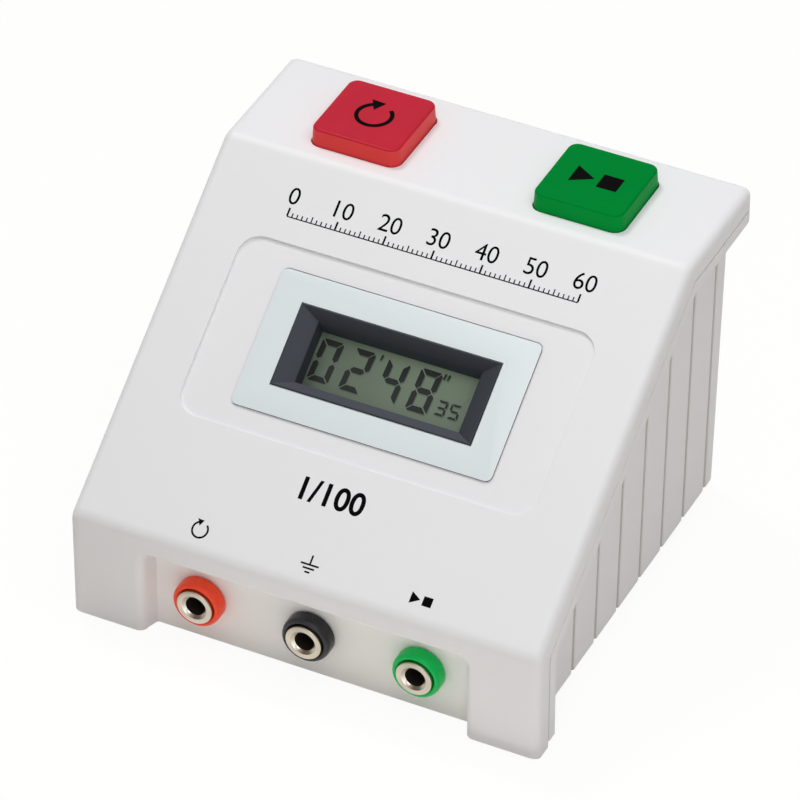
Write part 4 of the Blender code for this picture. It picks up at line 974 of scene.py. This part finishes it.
# plain numbers and signs only; a sign's measures are shares of its size
roundArrow = {
    "radius": 0.42, "stroke": 0.1, "start": 120, "end": 408, "steps": 30, "head": 0.2, "headLong": 1.5,
}
stemBars = {
    "bars": ((1, 0.04), (0.64, -0.16), (0.28, -0.36)),  # half width, height
    "bar": 0.09, "stem": 0.045, "stemLow": 0.042, "stemTop": 0.5,
}
runHalt = {"back": 1.15, "tall": 0.62, "tip": 0.1, "near": 0.2, "far": 1.2, "square": 0.5}
marks = {
    "capSize": 0.0084, "capDip": 0.95, "capHeight": 0.0001, "capSink": 0.00005, "socketSize": 0.0038,
    "socketS": 0.0045, "seconds": 60, "scaleS": 0.0684, "scaleHalf": 0.0310, "line": 0.00022,
    "tickFoot": 0.00021,
    # every so many seconds a tick so tall and half so wide
    "ticks": ((10, 0.0019, 0.00019), (5, 0.0014, 0.00012), (1, 0.0010, 0.00012)),
    "figure": 0.0050, "figureRise": 0.0042, "figureThick": 0.00002, "curveSteps": 6,
    "hundredths": 0.0064, "hundredthsX": -0.0012, "hundredthsS": 0.0181, "hundredthsHeavy": 0.02,
}


def arcBand(inner, outer, start, end, steps):
    turns = [math.radians(start + (end - start) * s / steps) for s in range(steps + 1)]
    far = [(outer * math.cos(t), outer * math.sin(t)) for t in turns]
    near = [(inner * math.cos(t), inner * math.sin(t)) for t in turns[::-1]]
    return far + near


def resetSign(size):
    # a round arrow
    r, t, head = size * roundArrow["radius"], size * roundArrow["stroke"], size * roundArrow["head"]
    band = arcBand(r - t / 2, r + t / 2, roundArrow["start"], roundArrow["end"], roundArrow["steps"])
    end = math.radians(roundArrow["start"])
    tip = Vector((r * math.cos(end), r * math.sin(end)))
    out, along = tip.normalized(), Vector((math.sin(end), -math.cos(end)))
    arrow = (tip + out * head, tip + along * head * roundArrow["headLong"], tip - out * head)
    return [band, [point.to_tuple() for point in arrow]]


def commonSign(size):
    # shared return: a stem over three bars
    w, stem = size / 2, size * stemBars["stem"]
    bars = []
    for share, rise in stemBars["bars"]:
        bars.append(oblong(-w * share, rise * size, w * share, rise * size - size * stemBars["bar"]))
    return bars + [oblong(-stem, size * stemBars["stemLow"], stem, size * stemBars["stemTop"])]


def startSign(size):
    # a triangle to run, a square to halt
    w = size / 2
    back, tall, square = -w * runHalt["back"], w * runHalt["tall"], w * runHalt["square"]
    near, far = w * runHalt["near"], w * runHalt["far"]
    triangle = [(back, tall), (back, -tall), (-w * runHalt["tip"], 0)]
    return [triangle, [(near, square), (near, -square), (far, -square), (far, square)]]


def numberPiece(name, text, size, at, heavy=0.0):
    letters = bpy.data.curves.new(name, "FONT")
    letters.body, letters.size = text, size
    letters.align_x, letters.align_y = "CENTER", "CENTER"
    letters.extrude, letters.offset = marks["figureThick"], size * heavy
    letters.resolution_u = marks["curveSteps"]
    maker = linked(name + "Curve", letters)
    bpy.context.view_layer.update()
    mesh = bpy.data.meshes.new_from_object(maker.evaluated_get(bpy.context.evaluated_depsgraph_get()))
    bpy.data.objects.remove(maker)
    piece = linked(name, mesh)
    piece.matrix_world = at
    return dress(piece, "printBlack")


def buildMarks():
    signs = {"reset": resetSign, "common": commonSign, "start": startSign}
    capTop = caps["rise"] - caps["dish"] * marks["capDip"]
    for name, button in buttons.items():
        at = shift(button["x"], caps["y"], deckZ + capTop)
        flatPrint(f"{name}CapSign", signs[name](marks["capSize"]), at, "printBlack",
                  height=marks["capHeight"], sink=marks["capSink"], body=f"{name}_button")
    for name, socket in socketSet.items():
        at = onSlope(socket["x"], marks["socketS"])
        flatPrint(f"{name}SocketSign", signs[name](marks["socketSize"]), at, "printBlack")
    half, scaleS, seconds = marks["scaleHalf"], marks["scaleS"], marks["seconds"]
    lines = [oblong(-half, 0, half, marks["line"])]
    for second in range(seconds + 1):
        x = half * (2 * second / seconds - 1)
        tall, wide = next((tall, wide) for every, tall, wide in marks["ticks"] if second % every == 0)
        lines.append(oblong(x - wide, marks["tickFoot"], x + wide, tall))
    flatPrint("secondScale", lines, onSlope(0, scaleS), "printBlack")
    for second in range(0, seconds + 1, 10):
        at = onSlope(half * (2 * second / seconds - 1), scaleS + marks["figureRise"])
        numberPiece(f"scaleFigure{second // 10}", str(second), marks["figure"], at)
    at = onSlope(marks["hundredthsX"], marks["hundredthsS"])
    numberPiece("hundredthsMark", "1/100", marks["hundredths"], at, marks["hundredthsHeavy"])


buildMarks()
print("marks printed")

foot = {
    "radius": 0.0045, "top": 0.0023, "edge": 0.0006, "dish": 0.0004, "dishFlat": 0.45, "dishEdge": 0.6,
    "sides": 48,
}


def buildFeet():
    radius, dish = foot["radius"], foot["dish"]
    outline = [(0, dish), (radius * foot["dishFlat"], dish), (radius * foot["dishEdge"], 0.0)]
    outline += [(radius - short, up) for up, short in easing(foot["edge"], 5)]
    outline += [(radius, foot["top"]), (0, foot["top"])]
    for corner in cornerNames:
        node = f"rubber_foot_{corner}"
        x, y, low, _ = nodeSpot(node)
        end, side = corner.split("_")
        rubber = turnedMesh(outline, foot["sides"])
        piece = asObject(f"{end}{side.title()}Foot", rubber, shift(x, y, low))
        dress(piece, "footRubber", stands=[node])


buildFeet()
print("feet built")

keptWords = {  # finish, then words in the names of the carried-over nodes that take it
    "zincSteel": ("screw", "battery_spring", "battery_contact", "crystal_can"),
    "innerBlack": ("_plunger", "_switch_body", "module_frame", "battery_holder"),
    "collarBlack": ("common_socket_washer", "common_socket_lead", "battery_negative_lead"),
    "collarRed": ("reset_socket_washer", "reset_socket_lead"),
    "collarGreen": ("start_socket_washer", "start_socket_lead"),
    "boardGreen": ("module_board", "button_board"),
    "nickelPlate": ("_nut",), "tinPlate": ("_tag",), "resinBlack": ("chip_cover",), "footRubber": ("zebra",),
    "cellSleeve": ("battery_cell",), "capRed": ("battery_positive_lead",),
    "wireWhite": ("button_board_lead",),
}
finishOf = {word: finish for finish, words in keptWords.items() for word in words}
for nodeName, node in cadNodes.items():
    if node.hide_render:
        continue
    longest = max([word for word in finishOf if word in nodeName], key=len)
    node.data.materials.clear()
    node.data.materials.append(finishes[finishOf[longest]])
print("kept solids dressed")

ground = {
    "half": 3, "round": 0.5, "thick": 0.004, "colour": (233, 227, 220), "rough": 0.9,
    "glow": 1.03, "glowShare": 0.9,  # the rest keeps the shadow
}
studio = {"light": 0.29, "seen": 1.0, "seenShare": 1.0}


def showWhite(tree, plain, bright, share, end):
    # the bright shader is mixed in for what the camera, a gloss or a clear piece looks at
    rays = addNode(tree, "LightPath")
    seen = (rays, "Is Camera Ray")
    for other in ("Is Glossy Ray", "Is Transmission Ray"):
        seen = (addNode(tree, "Math", {0: seen, 1: (rays, other)}, operation="MAXIMUM"), 0)
    seen = (addNode(tree, "Math", {0: seen, 1: share}, operation="MULTIPLY"), 0)
    blend = addNode(tree, "MixShader", {0: seen, 1: (plain, 0), 2: (bright, 0)})
    setInputs(tree.nodes[end], {"Surface": (blend, 0)})


def buildStage():
    outline = roundedBox(ground["half"], ground["half"], ground["round"])
    floor = asObject("floor", stackLoft([(-ground["thick"], outline), (0.0, outline)]))
    paper = bpy.data.materials.new("paperWhite")
    paper.use_nodes = True
    tree = paper.node_tree
    shader = tree.nodes["Principled BSDF"]
    setInputs(shader, {
        "Base Color": ink(*ground["colour"]), "Roughness": ground["rough"], "Specular IOR Level": 0.0})
    glow = addNode(tree, "Emission", {"Strength": ground["glow"]})
    showWhite(tree, shader, glow, ground["glowShare"], "Material Output")
    floor.data.materials.append(paper)

    world = bpy.data.worlds.new("studio")
    scene.world = world
    world.use_nodes = True
    tree = world.node_tree
    sky = tree.nodes["Background"]
    setInputs(sky, {"Color": (1, 1, 1, 1), "Strength": studio["light"]})
    bright = addNode(tree, "Background", {"Strength": studio["seen"]})
    showWhite(tree, sky, bright, studio["seenShare"], "World Output")


def aimed(name, data, spot, towards):
    holder = linked(name, data)
    holder.location = spot
    holder.rotation_mode = "QUATERNION"
    holder.rotation_quaternion = towards.to_track_quat("-Z", "Y")
    return holder


middleOfCase = (0, 0, 0.03)  # lamps aim here unless they say otherwise
lamps = {
    "rearKey": {"at": (-0.36, 0.23, 0.95), "size": 0.22, "watts": 3.0, "tint": (1.0, 1.0, 1.0)},
    "overhead": {"at": (0.14, -0.07, 0.55), "size": 0.5, "watts": 1.35, "tint": (1.0, 0.995, 0.99)},
    "frontFill": {"at": (0.18, -0.40, 0.25), "size": 0.25, "watts": 0.21, "tint": (1.0, 0.995, 0.98)},
    # light thrown back up from the table just ahead of the sockets
    "tableGlow": {"at": (0.088, -0.169, 0.002), "aim": (0.088, -0.169, 1.0), "size": 0.24, "watts": 0.046,
                  "tint": (1.0, 0.99, 0.96)},
}


def buildLamps():
    for name, lamp in lamps.items():
        light = bpy.data.lights.new(name, "AREA")
        light.shape, light.size = "SQUARE", lamp["size"]
        light.energy, light.color = lamp["watts"], lamp["tint"]
        holder = aimed(name, light, lamp["at"], Vector(lamp.get("aim", middleOfCase)) - Vector(lamp["at"]))
        holder.visible_camera = False


viewer = {
    "eye": (0.41403, -0.84405, 0.78275), "azimuth": 26.27, "elevation": 38.45, "lens": 278.94, "sensor": 36.0,
    "nearest": 0.05, "farthest": 20,
}


def buildCamera():
    lens = bpy.data.cameras.new("viewer")
    lens.lens, lens.sensor_width, lens.sensor_fit = viewer["lens"], viewer["sensor"], "HORIZONTAL"
    lens.clip_start, lens.clip_end = viewer["nearest"], viewer["farthest"]
    a, e = math.radians(viewer["azimuth"]), math.radians(viewer["elevation"])
    away = Vector((math.sin(a) * math.cos(e), -math.cos(a) * math.cos(e), math.sin(e)))
    scene.camera = aimed("viewer", lens, viewer["eye"], -away)


buildStage()
buildLamps()
buildCamera()
scene.view_settings.view_transform = "Standard"
print("stage, lamps and camera set")
